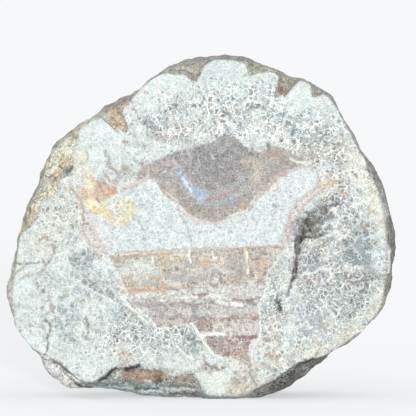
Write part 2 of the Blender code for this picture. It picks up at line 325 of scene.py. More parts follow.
BLUE_STREAK = [
    (-11.2, 106.2), (-9.5, 104.4), (-7.7, 101.3), (-5, 97.7), (-1.8, 95), (0.9, 94), (3.6, 92.7),
    (2.3, 90.5), (-0.5, 89.6), (-3.2, 90.9), (-5.9, 93.6), (-8.1, 97.2), (-10.4, 101.7), (-11.7, 104.4),
]
GROUND = "pale_mint"
GROUND_PATCHES = [
    ("mint_white", -18.5, 140.5, 15.5, 7, 25, 0.9), ("mint_white", -32, 132.5, 8, 5.5, 40, 0.8),
    ("pale_blue", 7, 145, 10, 6, 0, 0.6), ("pale_blue", 24, 137.5, 6.5, 5.5, 0, 0.8),
    ("mint_white", 43, 134, 8, 6.5, -30, 0.9), ("mint_white", 53.5, 126, 7, 6.5, 0, 0.6),
    ("slate_blue", -21, 123, 7.5, 4, -35, 1.0), ("blue_grey", 34, 128, 6, 4, 0, 0.9),
    ("slate_blue", 43, 121.5, 5, 4, 0, 0.8), ("slate", 55, 117, 6, 5, 0, 0.8),
    ("blue_grey", -7, 131.5, 6.5, 4.5, 0, 0.7), ("warm_grey", 11, 128.5, 5, 4.5, 0, 0.7),
    ("warm_grey", -13, 119.5, 13.5, 5.5, 0, 0.7), ("olive_grey", 62.5, 110.5, 5, 8, 0, 0.8),
    ("olive_grey", 44.5, 111.5, 11, 4.5, 0, 0.7), ("olive_grey", 53, 112, 9, 5, -20, 0.6),
    ("stone_grey", 60, 103, 6, 6, 0, 0.6), ("stone_grey", 65, 93, 5, 6, 0, 0.5),
    ("straw_white", 68, 103.5, 6.5, 9, 35, 0.5), ("cream_yellow", 71, 112, 5, 14, 25, 0.5),
    ("straw_white", 78.5, 86.5, 4, 11.5, 10, 0.8), ("tan", 59.5, 97, 5.5, 3.5, 0, 0.8),
    ("deep_slate", 59, 77, 13, 14, 0, 0.7), ("deep_slate", 62, 50, 18, 16, 0, 0.8),
    # The two dark-slate patches lie in the ravine: partly its own dark stone, partly painted shade in the
    # recess.
    ("dark_slate", 56, 87, 9, 5, 35, 1.0), ("dark_slate", 47, 76, 6, 7, -25, 1.0),
    ("deep_slate", 43, 64, 4, 12, -5, 0.9), ("deep_steel", 70, 70, 8, 12, 0, 1.0),
    ("cream_white", 62, 72, 3, 7, -30, 0.6), ("steel", 54.5, 61, 10, 7, 0, 0.9),
    # The dark-slate patch at (77.5, 54.5) is painted shade in the notch between two lobes of the right edge.
    ("deep_slate", 66, 46, 12, 11, 0, 0.9), ("dark_slate", 77.5, 54.5, 5, 3, 0, 0.6),
    ("lavender", 49.5, 34, 7.5, 6.5, 0, 0.9), ("slate", 34, 42.5, 4, 8, 0, 0.8),
    ("cream_white", 56, 36, 2, 6.5, 30, 0.8), ("cream_white", 62.5, 29, 5, 5, 0, 0.6),
    ("straw_white", 52.5, 21.5, 13.5, 4, 25, 0.8), ("straw_white", 67, 33, 10, 4, 45, 0.8),
    ("mint_white", 81, 61, 2, 13.5, 0, 0.7), ("warm_grey", 30, 34, 6, 9, 0, 0.7),
    ("cream_yellow", 34, 24, 4, 4, 0, 0.7), ("tan", 34, 18, 6, 4, 0, 0.5),
    ("straw_grey", 22, 10, 7, 5.5, 0, 0.8), ("slate", 33, 58.5, 5, 8, -15, 0.8),
    ("brown_grey", 44.5, 107, 9, 2.5, 10, 0.5), ("mint_white", -45.5, 115, 11, 10, 0, 0.9),
    ("straw_white", -55, 103.5, 4, 7, 0, 0.8), ("warm_grey", -35.5, 102.5, 5.5, 4, 0, 0.7),
    ("ochre", -51, 94.5, 6, 3.5, -25, 0.8), ("rust", -42, 94, 5, 3.5, 0, 0.9),
    ("straw", -47.5, 86.5, 6.5, 3.5, -15, 0.95), ("straw_white", -34.5, 85.5, 7, 5, 0, 0.9),
    ("slate", -27, 82, 3.5, 3, 0, 0.5), ("straw_white", -62.5, 82, 11, 12, 0, 0.5),
    ("straw_white", -69, 70, 8, 4.5, 0, 0.7), ("slate", -53.5, 63, 6, 4.5, -20, 1.0),
    ("slate", -48, 52.5, 9, 6, -35, 0.6), ("mint_white", -42, 61, 4, 5.5, -50, 0.7),
    ("mint_white", -80.5, 47.5, 6.5, 10, -10, 0.9), ("slate_blue", -71, 51.5, 5, 5, 0, 0.5),
    ("slate_blue", -63, 37, 7.5, 6, 0, 0.6), ("slate_blue", -60, 25.5, 6, 4.5, 0, 0.8),
    ("olive_grey", -84, 40.5, 2.5, 4.5, -15, 0.7), ("mint_white", -49, 18.5, 12.5, 6, 0, 0.9),
    ("mint_white", -71.5, 28.5, 6.5, 11, -20, 0.9), ("mint_white", -61, 21, 6, 5, -30, 0.6),
    ("slate", -34, 33, 8, 9.5, 0, 0.6), ("slate", -18.5, 28, 7, 7, 0, 0.5),
    ("slate", -4.5, 26.5, 6, 7, 0, 1.0), ("cream_white", -7.5, 17, 7, 3.5, 0, 0.8),
    ("brown_grey", -33, 15.5, 4, 3, 0, 0.8), ("cream_white", 5, 7.5, 6.5, 6, 0, 0.9),
    ("brown_grey", 4, 14.5, 5.5, 2.5, 0, 0.8), ("straw_grey", 16.5, 7, 4.5, 4, 0, 0.8),
    ("cream_white", 26, 20.5, 2.5, 9, 0, 0.7),
]
RIND = "stone_grey"
RIND_PATCHES = [
    ("stone_grey", 22, 151, 40.5, 6.5, -5, 0.6), ("warm_grey", -24, 138, 22, 4.5, 35, 0.8),
    ("olive_grey", -9.5, 147.5, 9, 4.5, 15, 0.6), ("brown", -3, 143, 3.5, 3.5, 0, 0.9),
    ("rim_rust", -36, 127, 6, 10, -30, 0.9), ("tan", -37, 126, 5, 7, -30, 0.6),
    ("tan", -23, 137.5, 9, 3.5, 35, 0.7), ("cream_yellow", -50, 122, 9, 5, 40, 0.9),
    ("brown", -56, 117, 3.5, 5, -25, 0.8), ("cream_yellow", -63, 105, 7, 14, -20, 1.0),
    ("ochre", -61, 103, 4, 6, -20, 0.8), ("rim_rust", -68, 94, 5, 11, -30, 0.9),
    ("straw_white", -72, 93, 2.5, 9, -20, 0.7), ("tan", -77, 78, 5.5, 11.5, -20, 0.9),
    ("cream_yellow", -69, 86, 5, 16, -25, 0.5), ("straw_white", -87, 48.5, 6.5, 20, 0, 0.9),
    ("olive_grey", -85, 40, 2.5, 4, -15, 0.8), ("white", -64.5, 11, 14, 11, -40, 1.0),
    ("cream_yellow", -56, 6, 8, 4, -30, 0.5), ("mint_white", -45, 6, 13.5, 3, -10, 0.8),
    # The narrow dark-slate patch along the crack between the lower-left lobes is painted shade in the crack.
    ("dark_slate", -60, 15.5, 9, 1.2, -38, 0.9), ("blue_grey", -27.5, 4.5, 27, 4.5, 0, 0.8),
    ("dark_slate", -19.5, 8, 4.5, 2.5, 0, 0.6), ("rim_rust", -24, 10.5, 10, 3, -8, 1.0),
    ("rim_rust", -9, 9, 6, 3, 0, 0.7), ("dark_brown", -33, 14, 2.5, 2, 0, 0.9),
    ("moss", -29.5, 5.5, 6.5, 2, 0, 0.5), ("olive_grey", -6, 5.5, 9, 3.5, 0, 0.7),
    # Underside at the bottom right: the dark-brown and black-brown patches are partly the crust's own colour
    # and partly painted shade, where the rim faces down.
    ("dark_brown", 44.5, 10, 22, 11, 30, 1.0), ("black_brown", 40, 8, 18, 7, 30, 0.5),
    ("black_brown", 41, 8, 10, 5, 35, 0.9), ("olive_grey", 65, 24, 9, 4.5, 35, 0.8),
    # On the right rim the seam and bark-grey patches darken the band that faces right: partly the rim's own
    # grey, partly painted shade.
    ("seam", 88, 66.5, 8, 32, 0, 1.0), ("bark_grey", 82, 105, 6, 14, 20, 0.8),
    ("mauve", 89, 78, 2, 12, 0, 0.4), ("olive_grey", 81.5, 39.5, 5.5, 15.5, 30, 0.8),
    ("straw_grey", 35, 141, 16, 6, -25, 0.6), ("brown", 37.5, 137.5, 4, 4, 0, 0.9),
    ("olive_grey", 37, 143, 4, 3.5, 0, 0.8), ("olive_grey", 51, 137.5, 3, 3.5, 0, 0.8),
    ("olive_grey", 22, 147.5, 3.5, 3, 0, 0.7), ("warm_grey", 52.5, 79, 12, 6, 35, 1.0),
    # The small seam patch darkens the ravine: partly its own dark stone, partly painted shade in the recess.
    ("seam", 46, 74.5, 3.5, 5.5, -30, 0.5), ("stone_grey", 41.5, 61, 2.5, 15.5, -5, 0.9),
    ("dark_blue", -58, 102, 3.5, 4.5, 0, 1.0), ("dark_blue", 34.5, 43, 2.5, 4.5, 0, 0.8),
    ("olive_grey", 79, 55.5, 6.5, 2.5, 0, 0.8),
]
STAIN_PATCHES = [
    ("ice", -12, 73, 9, 4, 0, 0.5), ("rose_white", -50, 76.5, 4.5, 8, -10, 0.8),
    ("straw_white", -34, 85, 6, 5, 0, 0.8), ("straw", -44, 87, 5, 4, 0, 0.8),
    ("purple_grey", 11, 106, 9, 6, 0, 0.7), ("purple_grey", 0, 111, 9, 4, 0, 0.5),
    ("dove", 11, 115, 5, 5, 0, 0.6), ("taupe", 28, 104, 10, 8, 0, 0.7),
    ("brown_grey", 34, 110, 6, 4, 0, 0.8), ("mauve", -14, 102, 8, 6, 0, 0.5),
    ("brown_grey", -22, 104, 5, 4, 0, 0.6), ("taupe", 6, 86, 12, 4, 0, 0.6),
    ("brown", 19, 88, 4, 3, 0, 0.7), ("straw", -16, 63, 7, 4, 0, 0.3), ("apricot", 4, 62, 8, 4, 0, 0.5),
    ("apricot", -14, 54, 10, 4, 0, 0.4), ("cream_white", -27, 59, 8, 4.5, 0, 0.7),
    ("brown_grey", 17, 58, 6, 5, 0, 0.6), ("orange_brown", 28, 61, 4, 4, 0, 0.7),
    ("rose_white", 17, 48.5, 7, 2.5, 5, 0.8), ("orange_brown", -33, 51, 5, 3.5, 0, 0.6),
    ("rose_white", 0, 47, 6, 2, 0, 0.4), ("mauve", -20, 43, 7, 3, 0, 0.5),
    ("grey_rose", 12, 41, 9, 2.5, 0, 0.6), ("dark_maroon", 0, 34, 4, 3, 0, 0.6),
    ("dark_maroon", 7, 25, 6, 4, 0, 0.4),
]
# How strongly the mineral net and its larger veins show: (strength, x, z, half width, half height, turn)
SPECKLE = 0.5
SPECKLE_PATCHES = [
    (1.0, 0, 126, 26, 10, 0), (1.0, 36, 124, 28, 11, -15), (0.95, 14, 132, 28, 9, 0),
    (0.3, -20, 142, 14, 5, 20), (0.25, 8, 148, 14, 4, 0), (0.3, 44, 137, 9, 6, -30),
    (0.85, 62, 100, 10, 24, 20), (0.8, 69, 112, 9, 18, 25), (0.7, 62, 55, 22, 28, 0),
    (0.4, 71, 65, 8, 9, 0), (0.75, 46, 22, 18, 10, 25), (0.7, -62, 80, 12, 12, 0), (0.3, -82, 50, 7, 18, 0),
    (0.5, -56, 36, 18, 20, 0), (0.85, -24, 30, 22, 10, 10), (0.5, 5, 14, 16, 6, 0), (0.3, 6, 7, 8, 7, 0),
    (0.3, -46, 114, 12, 12, 0), (0.3, -46, 90, 9, 8, 0), (0.85, 33, 40, 6, 20, 0),
]
VEINING = 0.25
VEINING_PATCHES = [
    (1.0, 62, 60, 22, 26, 0), (0.8, -55, 40, 22, 18, 0), (0.8, -25, 30, 20, 9, 0),
    (0.6, 45, 26, 18, 10, 20), (0.1, 0, 144, 30, 7, 0), (0.5, 20, 126, 40, 10, 0),
    (0.7, -62, 82, 12, 14, 0), (0.3, -48, 112, 12, 14, 0),
]

# Cuts in the face: stone partly fills them in three places, and is broken rough in and beside the ravine.
# Fillings are (share filled, x, z, half width, half height, turn), and the broken oval has no share.
FILLINGS = [(0.85, 58, 84.5, 11, 7, 30), (0.85, 80, 55, 5, 3.5, 0), (0.5, 47, 74, 6, 10, -10)]
CUT_START, CUT_END = 0.4, 9.0  # depths behind the face between which stone counts as a cut's wall
RAVINE_X, RAVINE_Z, RAVINE_HALF_WIDTH, RAVINE_HALF_HEIGHT = 48, 66, 14, 26
BROKEN_OVAL, BROKEN_DEPTH = (49, 78, 5.5, 6.5, 0), 0.7

# Single marks, drawn as strokes of a soft brush: (colour, width, strength, then the places that the stroke
# runs through). A mark with one place is a dot.
BROAD = 2.3  # marks at least this wide lie under the mineral net, and finer ones over it
MARK_DEPTH, MARK_FADE = 16.0, 8.0  # how far behind the face the marks end, and the stretch where they fade
DOME_MARKS = [
    ("slate", 1.0, 0.8, (-0.5, 96.3), (1.8, 94), (5.4, 93), (9, 93.2), (12.2, 95), (14.4, 96)),
    ("red_brown", 1.2, 0.7, (3.6, 89.6), (6.8, 90.5), (10.4, 91.8), (13.5, 93.2), (15.8, 93.8)),
    ("ochre", 2.4, 0.9, (18.6, 87), (18.2, 85.5)), ("slate", 2.0, 0.8, (9.9, 85.5)),
    ("dove", 0.9, 0.6, (10, 85.6)), ("rose_white", 0.9, 0.9, (-15.5, 93.5), (-13, 91), (-10.8, 89.1)),
    ("rose_white", 1.0, 0.8, (-9, 86), (-5, 82), (-1.8, 81)),
    ("rose_white", 1.2, 0.9, (12, 82), (17.6, 84.2), (20.5, 84.6)),
    ("rose", 1.2, 0.7, (-10, 85), (-3, 80.5), (4, 79), (10, 79.6)),
    ("seam", 0.9, 0.55, (6.3, 109.4), (6.8, 104.4), (6.8, 99)),
    ("warm_grey", 1.3, 0.8, (4.7, 110), (5.9, 108)), ("white", 1.4, 0.8, (-16.2, 102.2)),
    ("rose_white", 1.2, 0.7, (-3.6, 101.7)), ("rose", 3.4, 0.5, (-17, 107), (-11.7, 105)),
    ("brown_grey", 4.0, 0.6, (-26, 104), (-22, 101.7)), ("tan", 4.5, 0.6, (20, 107), (27, 105), (24, 99)),
    ("brown", 2.2, 0.7, (29, 110), (35.5, 110.5), (37.3, 106)),
    ("stone_grey", 5.0, 0.7, (30, 104.5), (33, 104.5)), ("dark_slate", 2.0, 0.9, (30, 114), (30.6, 112.6)),
    ("mauve", 3.0, 0.7, (45, 110.5)), ("taupe", 5.0, 0.6, (11.7, 116.5)),
    ("rust", 0.9, 0.7, (45.5, 110), (47.5, 109.5), (49.7, 108.3)), ("maroon", 2.5, 0.4, (11, 112)),
    ("purple_grey", 8.0, 0.6, (5, 110), (10, 106), (12, 99)),
    ("purple_grey", 4.5, 0.7, (1, 111.5), (2.5, 107)),
    ("dark_mauve", 4.0, 0.45, (10, 104.5), (13, 101), (8, 100)),
    ("warm_grey", 0.9, 0.7, (-6.3, 112.5), (-5.4, 110), (-4, 108), (-5, 105)),
    ("warm_grey", 0.9, 0.6, (-9, 111.5), (-7.7, 108)),
    ("warm_grey", 0.9, 0.5, (-1.5, 109.5), (-0.8, 106), (-2, 103)),
    ("brown_grey", 5.0, 0.5, (-12, 97), (-9, 91)), ("tan", 2.6, 0.6, (-15, 96.5), (-12.5, 93)),
    ("dove", 4.0, 0.5, (1, 101.5), (6, 97)), ("tan", 2.5, 0.5, (16, 92), (21, 97)),
    ("stone_grey", 3.5, 0.5, (19, 99), (22.5, 95), (21, 90)),
    ("brown", 2.5, 0.45, (0, 86.5), (6, 84.5), (13, 86.5)),
    ("slate", 0.9, 0.9, (-4.8, 96.5), (-3.4, 94.6), (-2.6, 92.2)),
    ("ice", 1.3, 0.8, (-8, 99.3), (-6, 95.6), (-4.4, 93)), ("slate", 2.6, 0.5, (2, 92.5), (4.5, 92)),
    ("rosy_brown", 1.2, 0.7, (41, 103), (47, 104.6), (51, 104.2)),
    ("red_brown", 1.1, 0.75, (22, 87), (28, 93), (34, 99.5), (39, 102.3)),
    ("cream_white", 1.5, 0.8, (40, 108), (43, 106.5), (48, 106)),
]
PALE_MARKS = [
    ("blush", 3.4, 0.7, (-52.5, 83), (-51, 76.5), (-47.5, 70.5), (-44, 66)),
    ("blush", 5.0, 0.5, (-45.5, 72), (-42, 68.5)),
    ("rosy_brown", 0.9, 0.8, (-53.8, 79), (-51.8, 73.5), (-48.3, 68), (-45, 63.5)),
    ("rose", 0.9, 0.5, (-49.5, 79.5), (-47, 73.5), (-43, 68)),
    ("rosy_brown", 1.2, 0.8, (-34.5, 94), (-31, 96), (-26.5, 97.8), (-22, 100)),
    ("blush", 1.6, 0.7, (-33, 95.6), (-28, 98), (-24, 100)),
    ("blush", 2.8, 0.7, (55.5, 101), (54.5, 96), (48.5, 91.5), (43.5, 87), (40.5, 80.5), (38, 73.5),
     (37.5, 69.5)),
    ("rosy_brown", 1.0, 0.8, (58, 102.6), (57.4, 97.5), (53, 93), (48, 89), (44.3, 84.5), (41.5, 79),
     (39.3, 74), (39, 70)),
    ("rosy_brown", 0.9, 0.7, (52.7, 101.3), (52.4, 96.3), (47.5, 92.5), (42.5, 88.5), (39.3, 82.5),
     (37.3, 76), (36.3, 70.5)),
    ("ochre", 1.8, 0.6, (52.5, 96.8), (57, 96), (60.5, 98.3)), ("rose_white", 3.0, 0.6, (56, 101.5)),
    ("pale_blue", 2.0, 0.7, (54, 104.5), (58, 104.5)), ("stone_grey", 1.8, 0.8, (32.5, 87.3), (34.3, 87.2)),
    ("dove", 1.4, 0.5, (32.5, 83.8)), ("mint_white", 6.5, 0.7, (46, 99.5), (49, 97)),
    ("straw_white", 2.6, 0.8, (30, 94), (35.5, 97)),
    ("slate", 1.0, 0.8, (-30.5, 83.2), (-28.4, 82.3), (-27, 78.3), (-25.8, 75.8)),
    ("slate", 1.7, 0.9, (-25.7, 72.5)), ("stone_grey", 2.6, 0.4, (-29.5, 81)),
    ("slate", 0.9, 0.6, (-9.5, 83), (-7, 79.5), (-4, 70)), ("pale_blue", 5.0, 0.8, (-17, 72), (-10, 73.5)),
    ("slate", 0.8, 0.5, (-37, 70), (-34.5, 66.5)), ("tan", 1.0, 0.6, (36, 83), (35.5, 79.5)),
    ("ice_blue", 4.0, 0.7, (38, 92), (42, 95)), ("mint_white", 4.0, 0.7, (24, 88), (27, 91.5)),
    ("dove", 1.0, 0.5, (23, 82), (25, 79.5)),
]
BAND_MARKS = [
    ("rosy_brown", 1.0, 0.8, (-41, 64), (-36.5, 66.3), (-23, 66.4), (-9.5, 67.4), (8.5, 68), (26.5, 68.6),
     (34, 69)),
    ("orange_brown", 1.0, 0.8, (-39, 62.5), (-32, 64.6), (-20, 65), (-14, 66)),
    ("cream_white", 4.0, 0.6, (-36.5, 58), (-24, 58.5)), ("cream_white", 3.0, 0.6, (-33, 61), (-27, 62)),
    ("warm_grey", 0.9, 0.6, (-33.5, 59.5), (-31, 61), (-29.5, 58.5)),
    ("ochre", 1.1, 0.5, (-26.5, 55.3), (-24, 55.8), (-20.7, 55.3)),
    ("seam", 0.8, 0.55, (-21.2, 64.5), (-20.3, 62.5), (-20.4, 58.5)),
    ("white", 1.6, 0.85, (-22, 64), (-21.8, 61.5)), ("ochre", 1.4, 0.5, (-16, 66), (-15, 63), (-15.3, 61)),
    ("straw", 1.2, 0.4, (-18.5, 62), (-18, 56.5)),
    ("cream_white", 1.3, 0.9, (-5.6, 67.8), (-5.2, 64.5), (-4.8, 61.5)),
    ("straw_white", 1.7, 0.8, (-11.7, 65.2), (-7.2, 65.2)), ("straw_white", 2.4, 0.6, (-3, 58.5), (0, 59)),
    ("slate", 1.6, 0.7, (-5.9, 61.2), (-4.5, 60.5)), ("white", 2.3, 1.0, (5.5, 63.4), (6.2, 63.2)),
    ("orange_brown", 2.2, 0.7, (-0.5, 61.2), (3, 61.5)), ("grey_rose", 2.4, 0.7, (0, 58), (5, 58.5)),
    ("stone_grey", 1.0, 0.8, (12.5, 66), (12.8, 62)),
    ("dark_mauve", 1.4, 0.7, (18, 61), (18.5, 57), (17, 54)),
    ("stone_grey", 4.5, 0.5, (13.5, 60), (16, 56)), ("straw", 1.5, 0.6, (20, 67), (20.3, 63.5), (21, 60)),
    ("white", 0.9, 0.9, (20.5, 66), (20.8, 62)),
    ("orange_brown", 2.8, 0.8, (26, 63), (26.5, 57), (26.6, 53)),
    ("dark_maroon", 0.9, 0.75, (22.5, 63), (25.5, 63)), ("dark_maroon", 0.9, 0.6, (28, 65.6), (30.5, 65.7)),
    ("dark_mauve", 1.8, 0.8, (22, 58.5), (22.7, 57.5)), ("white", 1.1, 0.8, (20.5, 58.5), (21, 56.5)),
    ("slate", 1.2, 0.7, (-18, 55.8), (-10, 55.6)), ("slate", 1.3, 0.7, (-13.5, 54), (-4, 54.3), (3, 54.5)),
    ("slate", 1.4, 0.8, (5, 58), (9, 57.3)), ("dark_slate", 1.6, 0.8, (5.2, 56.5)),
    ("dark_slate", 1.2, 0.8, (8.6, 57.2), (8.9, 53)), ("dark_slate", 1.2, 0.7, (4, 52), (7, 50.5)),
    ("warm_grey", 3.6, 0.8, (-25.5, 53), (-21.5, 53)), ("orange_brown", 2.2, 0.6, (-25.2, 50.8), (-22, 51)),
    ("rust", 1.3, 0.6, (-35, 48.5), (-28, 49), (-17, 49)), ("rust", 2.2, 0.6, (-18, 51.5), (-15.5, 49.5)),
    ("rose_white", 1.6, 0.9, (-13, 51.5), (-9.5, 51.7)),
    ("dark_mauve", 0.9, 0.8, (-12.5, 49.6), (-10.4, 49.3)),
    ("seam", 0.8, 0.6, (-6.8, 48), (-4, 50), (-1.5, 52)), ("seam", 0.8, 0.5, (-8.5, 47.3), (-5, 48.3)),
    ("dark_maroon", 1.0, 0.9, (-3.5, 47), (3.3, 47.2)), ("white", 1.0, 0.8, (-12, 45.8), (-2, 46)),
    ("white", 1.2, 0.8, (-18, 44.6), (-16.5, 44.5)), ("rose_white", 6.0, 0.9, (14.8, 46.8), (19, 47.6)),
    ("white", 2.0, 0.9, (13.5, 43), (18, 42.6)),
    ("dark_maroon", 0.9, 0.8, (14, 44.8), (20, 44.5), (24, 44.7)),
    ("dark_slate", 1.6, 0.6, (21, 43.8), (23.5, 43.3)), ("cream_white", 1.8, 0.8, (4, 47), (9, 46)),
    ("cream_white", 1.8, 0.8, (7, 44), (11, 43.3)),
    ("dark_mauve", 1.6, 0.6, (-31, 43.3), (-22, 42.5), (-16, 42.7)),
    ("dark_mauve", 2.0, 0.6, (-14, 42.7), (-5, 43), (0, 43)),
    ("rose_white", 2.5, 0.85, (-29, 40.5), (-24, 40)), ("stone_grey", 3.4, 0.6, (-22, 40.3), (-17, 40)),
    ("warm_grey", 2.6, 0.6, (-15, 39.2), (-10, 39)),
    ("purple_grey", 2.2, 0.7, (-3, 41.5), (-3.5, 38), (-2, 36.5)),
    ("warm_grey", 4.0, 0.6, (1, 40.6), (7, 40)), ("grey_rose", 4.0, 0.7, (18, 40.5), (24, 40)),
    ("grey_rose", 1.5, 0.7, (-20, 35.5), (-9, 35)), ("dark_mauve", 1.2, 0.6, (-21, 37.3), (-9, 37)),
    ("rose_white", 1.6, 0.7, (7, 37.8), (12, 37.6)),
    ("maroon", 1.3, 0.6, (9.5, 36.5), (17, 36.7), (25.3, 36.5)),
    ("dark_maroon", 4.6, 0.65, (-0.3, 33.3), (3.2, 32.4)),
    ("dark_maroon", 1.0, 0.8, (4.4, 34.5), (4.7, 30.5)),
    ("rose_white", 1.1, 0.7, (5.8, 33.4), (6.2, 31.8), (8, 34), (9.5, 33.5)),
    ("rose_white", 1.0, 0.7, (9.8, 34), (10.4, 31)), ("rose_white", 1.1, 0.7, (15, 34), (15.4, 30.5)),
    ("rose_white", 1.1, 0.7, (18.6, 34), (19, 30.5)), ("rose_white", 1.1, 0.8, (21.8, 34.5), (22, 30)),
    ("rose_white", 1.0, 0.7, (24, 33.5), (24.2, 30)),
    ("rose_white", 2.6, 0.7, (8, 29.8), (16, 30), (24, 30.2)),
    ("white", 1.5, 0.95, (0.5, 28.6), (3.5, 29.2), (6.3, 29.6), (10, 29.3)),
    ("dark_maroon", 1.4, 0.9, (15, 28.3), (20, 28.2), (24.6, 28)),
    ("dark_maroon", 5.0, 0.5, (4.5, 26), (9, 23.5)),
    ("rose", 1.5, 0.55, (12.5, 27.5), (16, 25), (19, 22.5)),
    ("dark_maroon", 3.0, 0.6, (20.5, 26), (21, 23.5)),
    ("red_brown", 2.4, 0.6, (19.5, 21.5), (21, 18.5), (21.8, 15.5)),
    ("maroon", 3.0, 0.5, (13, 20.8), (17, 20.5)),
    ("cream_white", 1.1, 0.9, (-36, 46.5), (-32, 42), (-28, 38), (-23.5, 34.5)),
    ("cream_white", 1.2, 0.9, (-3.6, 34.5), (-1.5, 30), (2, 24.5), (5.5, 20.5), (9.5, 18.6)),
    ("cream_white", 1.2, 0.9, (26.5, 35), (26.6, 30), (25.6, 25.8), (23, 23.5), (22.8, 19)),
    ("seam", 0.8, 0.6, (22, 14.5), (22.2, 11), (24.8, 6.8)),
]
TOP_MARKS = [
    ("teal_grey", 2.2, 0.6, (-23.5, 124.8), (-19.5, 121.3)),
    ("slate_blue", 2.2, 0.5, (-18.5, 124.5), (-15, 122.5)), ("slate", 1.3, 0.8, (1, 143.8)),
    ("dark_slate", 1.4, 0.9, (4.3, 144)), ("slate", 0.8, 0.6, (0.9, 142.6), (1.8, 140.4), (2.6, 138)),
    ("slate_blue", 4.5, 0.5, (21, 139), (24, 138)),
    ("teal_grey", 2.4, 0.9, (22, 131), (24.5, 130.8), (26.8, 131.3)),
    ("dark_slate", 1.3, 0.9, (28.3, 131.2)),
    ("dark_slate", 1.6, 0.8, (10, 129.3), (12.3, 128.3), (12.8, 126.3)),
    ("dark_slate", 1.4, 0.85, (0.5, 133.7)), ("slate", 1.5, 0.8, (-9.5, 132.3)),
    ("dark_slate", 1.3, 0.7, (-15.3, 126)), ("dark_slate", 1.2, 0.8, (-0.5, 125)),
    ("slate", 2.0, 0.8, (1.8, 122.9)), ("slate", 1.6, 0.8, (-4, 122.9)),
    ("dark_slate", 1.4, 0.7, (-15.3, 122.9)), ("brown", 1.5, 0.7, (5, 126.2)),
    ("stone_grey", 1.8, 0.8, (19.3, 127.3)), ("slate", 1.3, 0.8, (10.5, 122.6), (12.3, 121.8)),
    ("slate_blue", 4.5, 0.7, (31.5, 128.5), (35.5, 127.5)),
    ("slate_blue", 2.0, 0.8, (39.5, 126.2), (43, 126.2)), ("slate", 1.4, 0.8, (44.5, 124.2)),
    ("dark_slate", 1.6, 0.95, (41.2, 121), (41.2, 119.7)),
    ("slate", 2.0, 0.8, (52, 119.5), (49.5, 117.3), (46, 116.3)),
    ("slate", 3.0, 0.7, (54.5, 117.5), (58, 119.5)), ("teal_grey", 4.0, 0.8, (-26, 125), (-21.5, 122.8)),
    ("dark_slate", 3.0, 0.75, (-19.5, 122.5), (-18.6, 118.5)), ("dark_slate", 1.2, 0.8, (-23.8, 118.8)),
    ("slate", 1.5, 0.8, (-19.7, 117)), ("slate_blue", 4.0, 0.45, (-27, 127.5), (-22, 127.5)),
    ("brown", 1.6, 0.8, (-30, 130.5)), ("slate_blue", 2.6, 0.7, (-29.6, 119)),
    ("teal_grey", 2.6, 0.75, (-9.5, 117.4), (-6.5, 116.6)),
    ("rosy_brown", 3.0, 0.5, (-16.5, 118), (-12.5, 117.5)),
    ("slate_blue", 3.2, 0.75, (11.5, 134.6), (17, 133.6)), ("slate", 1.3, 0.7, (19, 134)),
    ("slate_blue", 3.0, 0.5, (-14, 133), (-11, 129)), ("slate", 2.0, 0.6, (-8, 130), (-5, 127.5)),
    ("slate_blue", 2.4, 0.6, (-1, 138), (-3, 136.5)), ("dark_slate", 1.3, 0.7, (-25.3, 113.8)),
    ("slate", 1.6, 0.7, (-29, 115.5)), ("slate", 2.2, 0.6, (17.5, 121.5)),
    ("slate", 2.2, 0.6, (24, 116.5), (22, 113)),
]
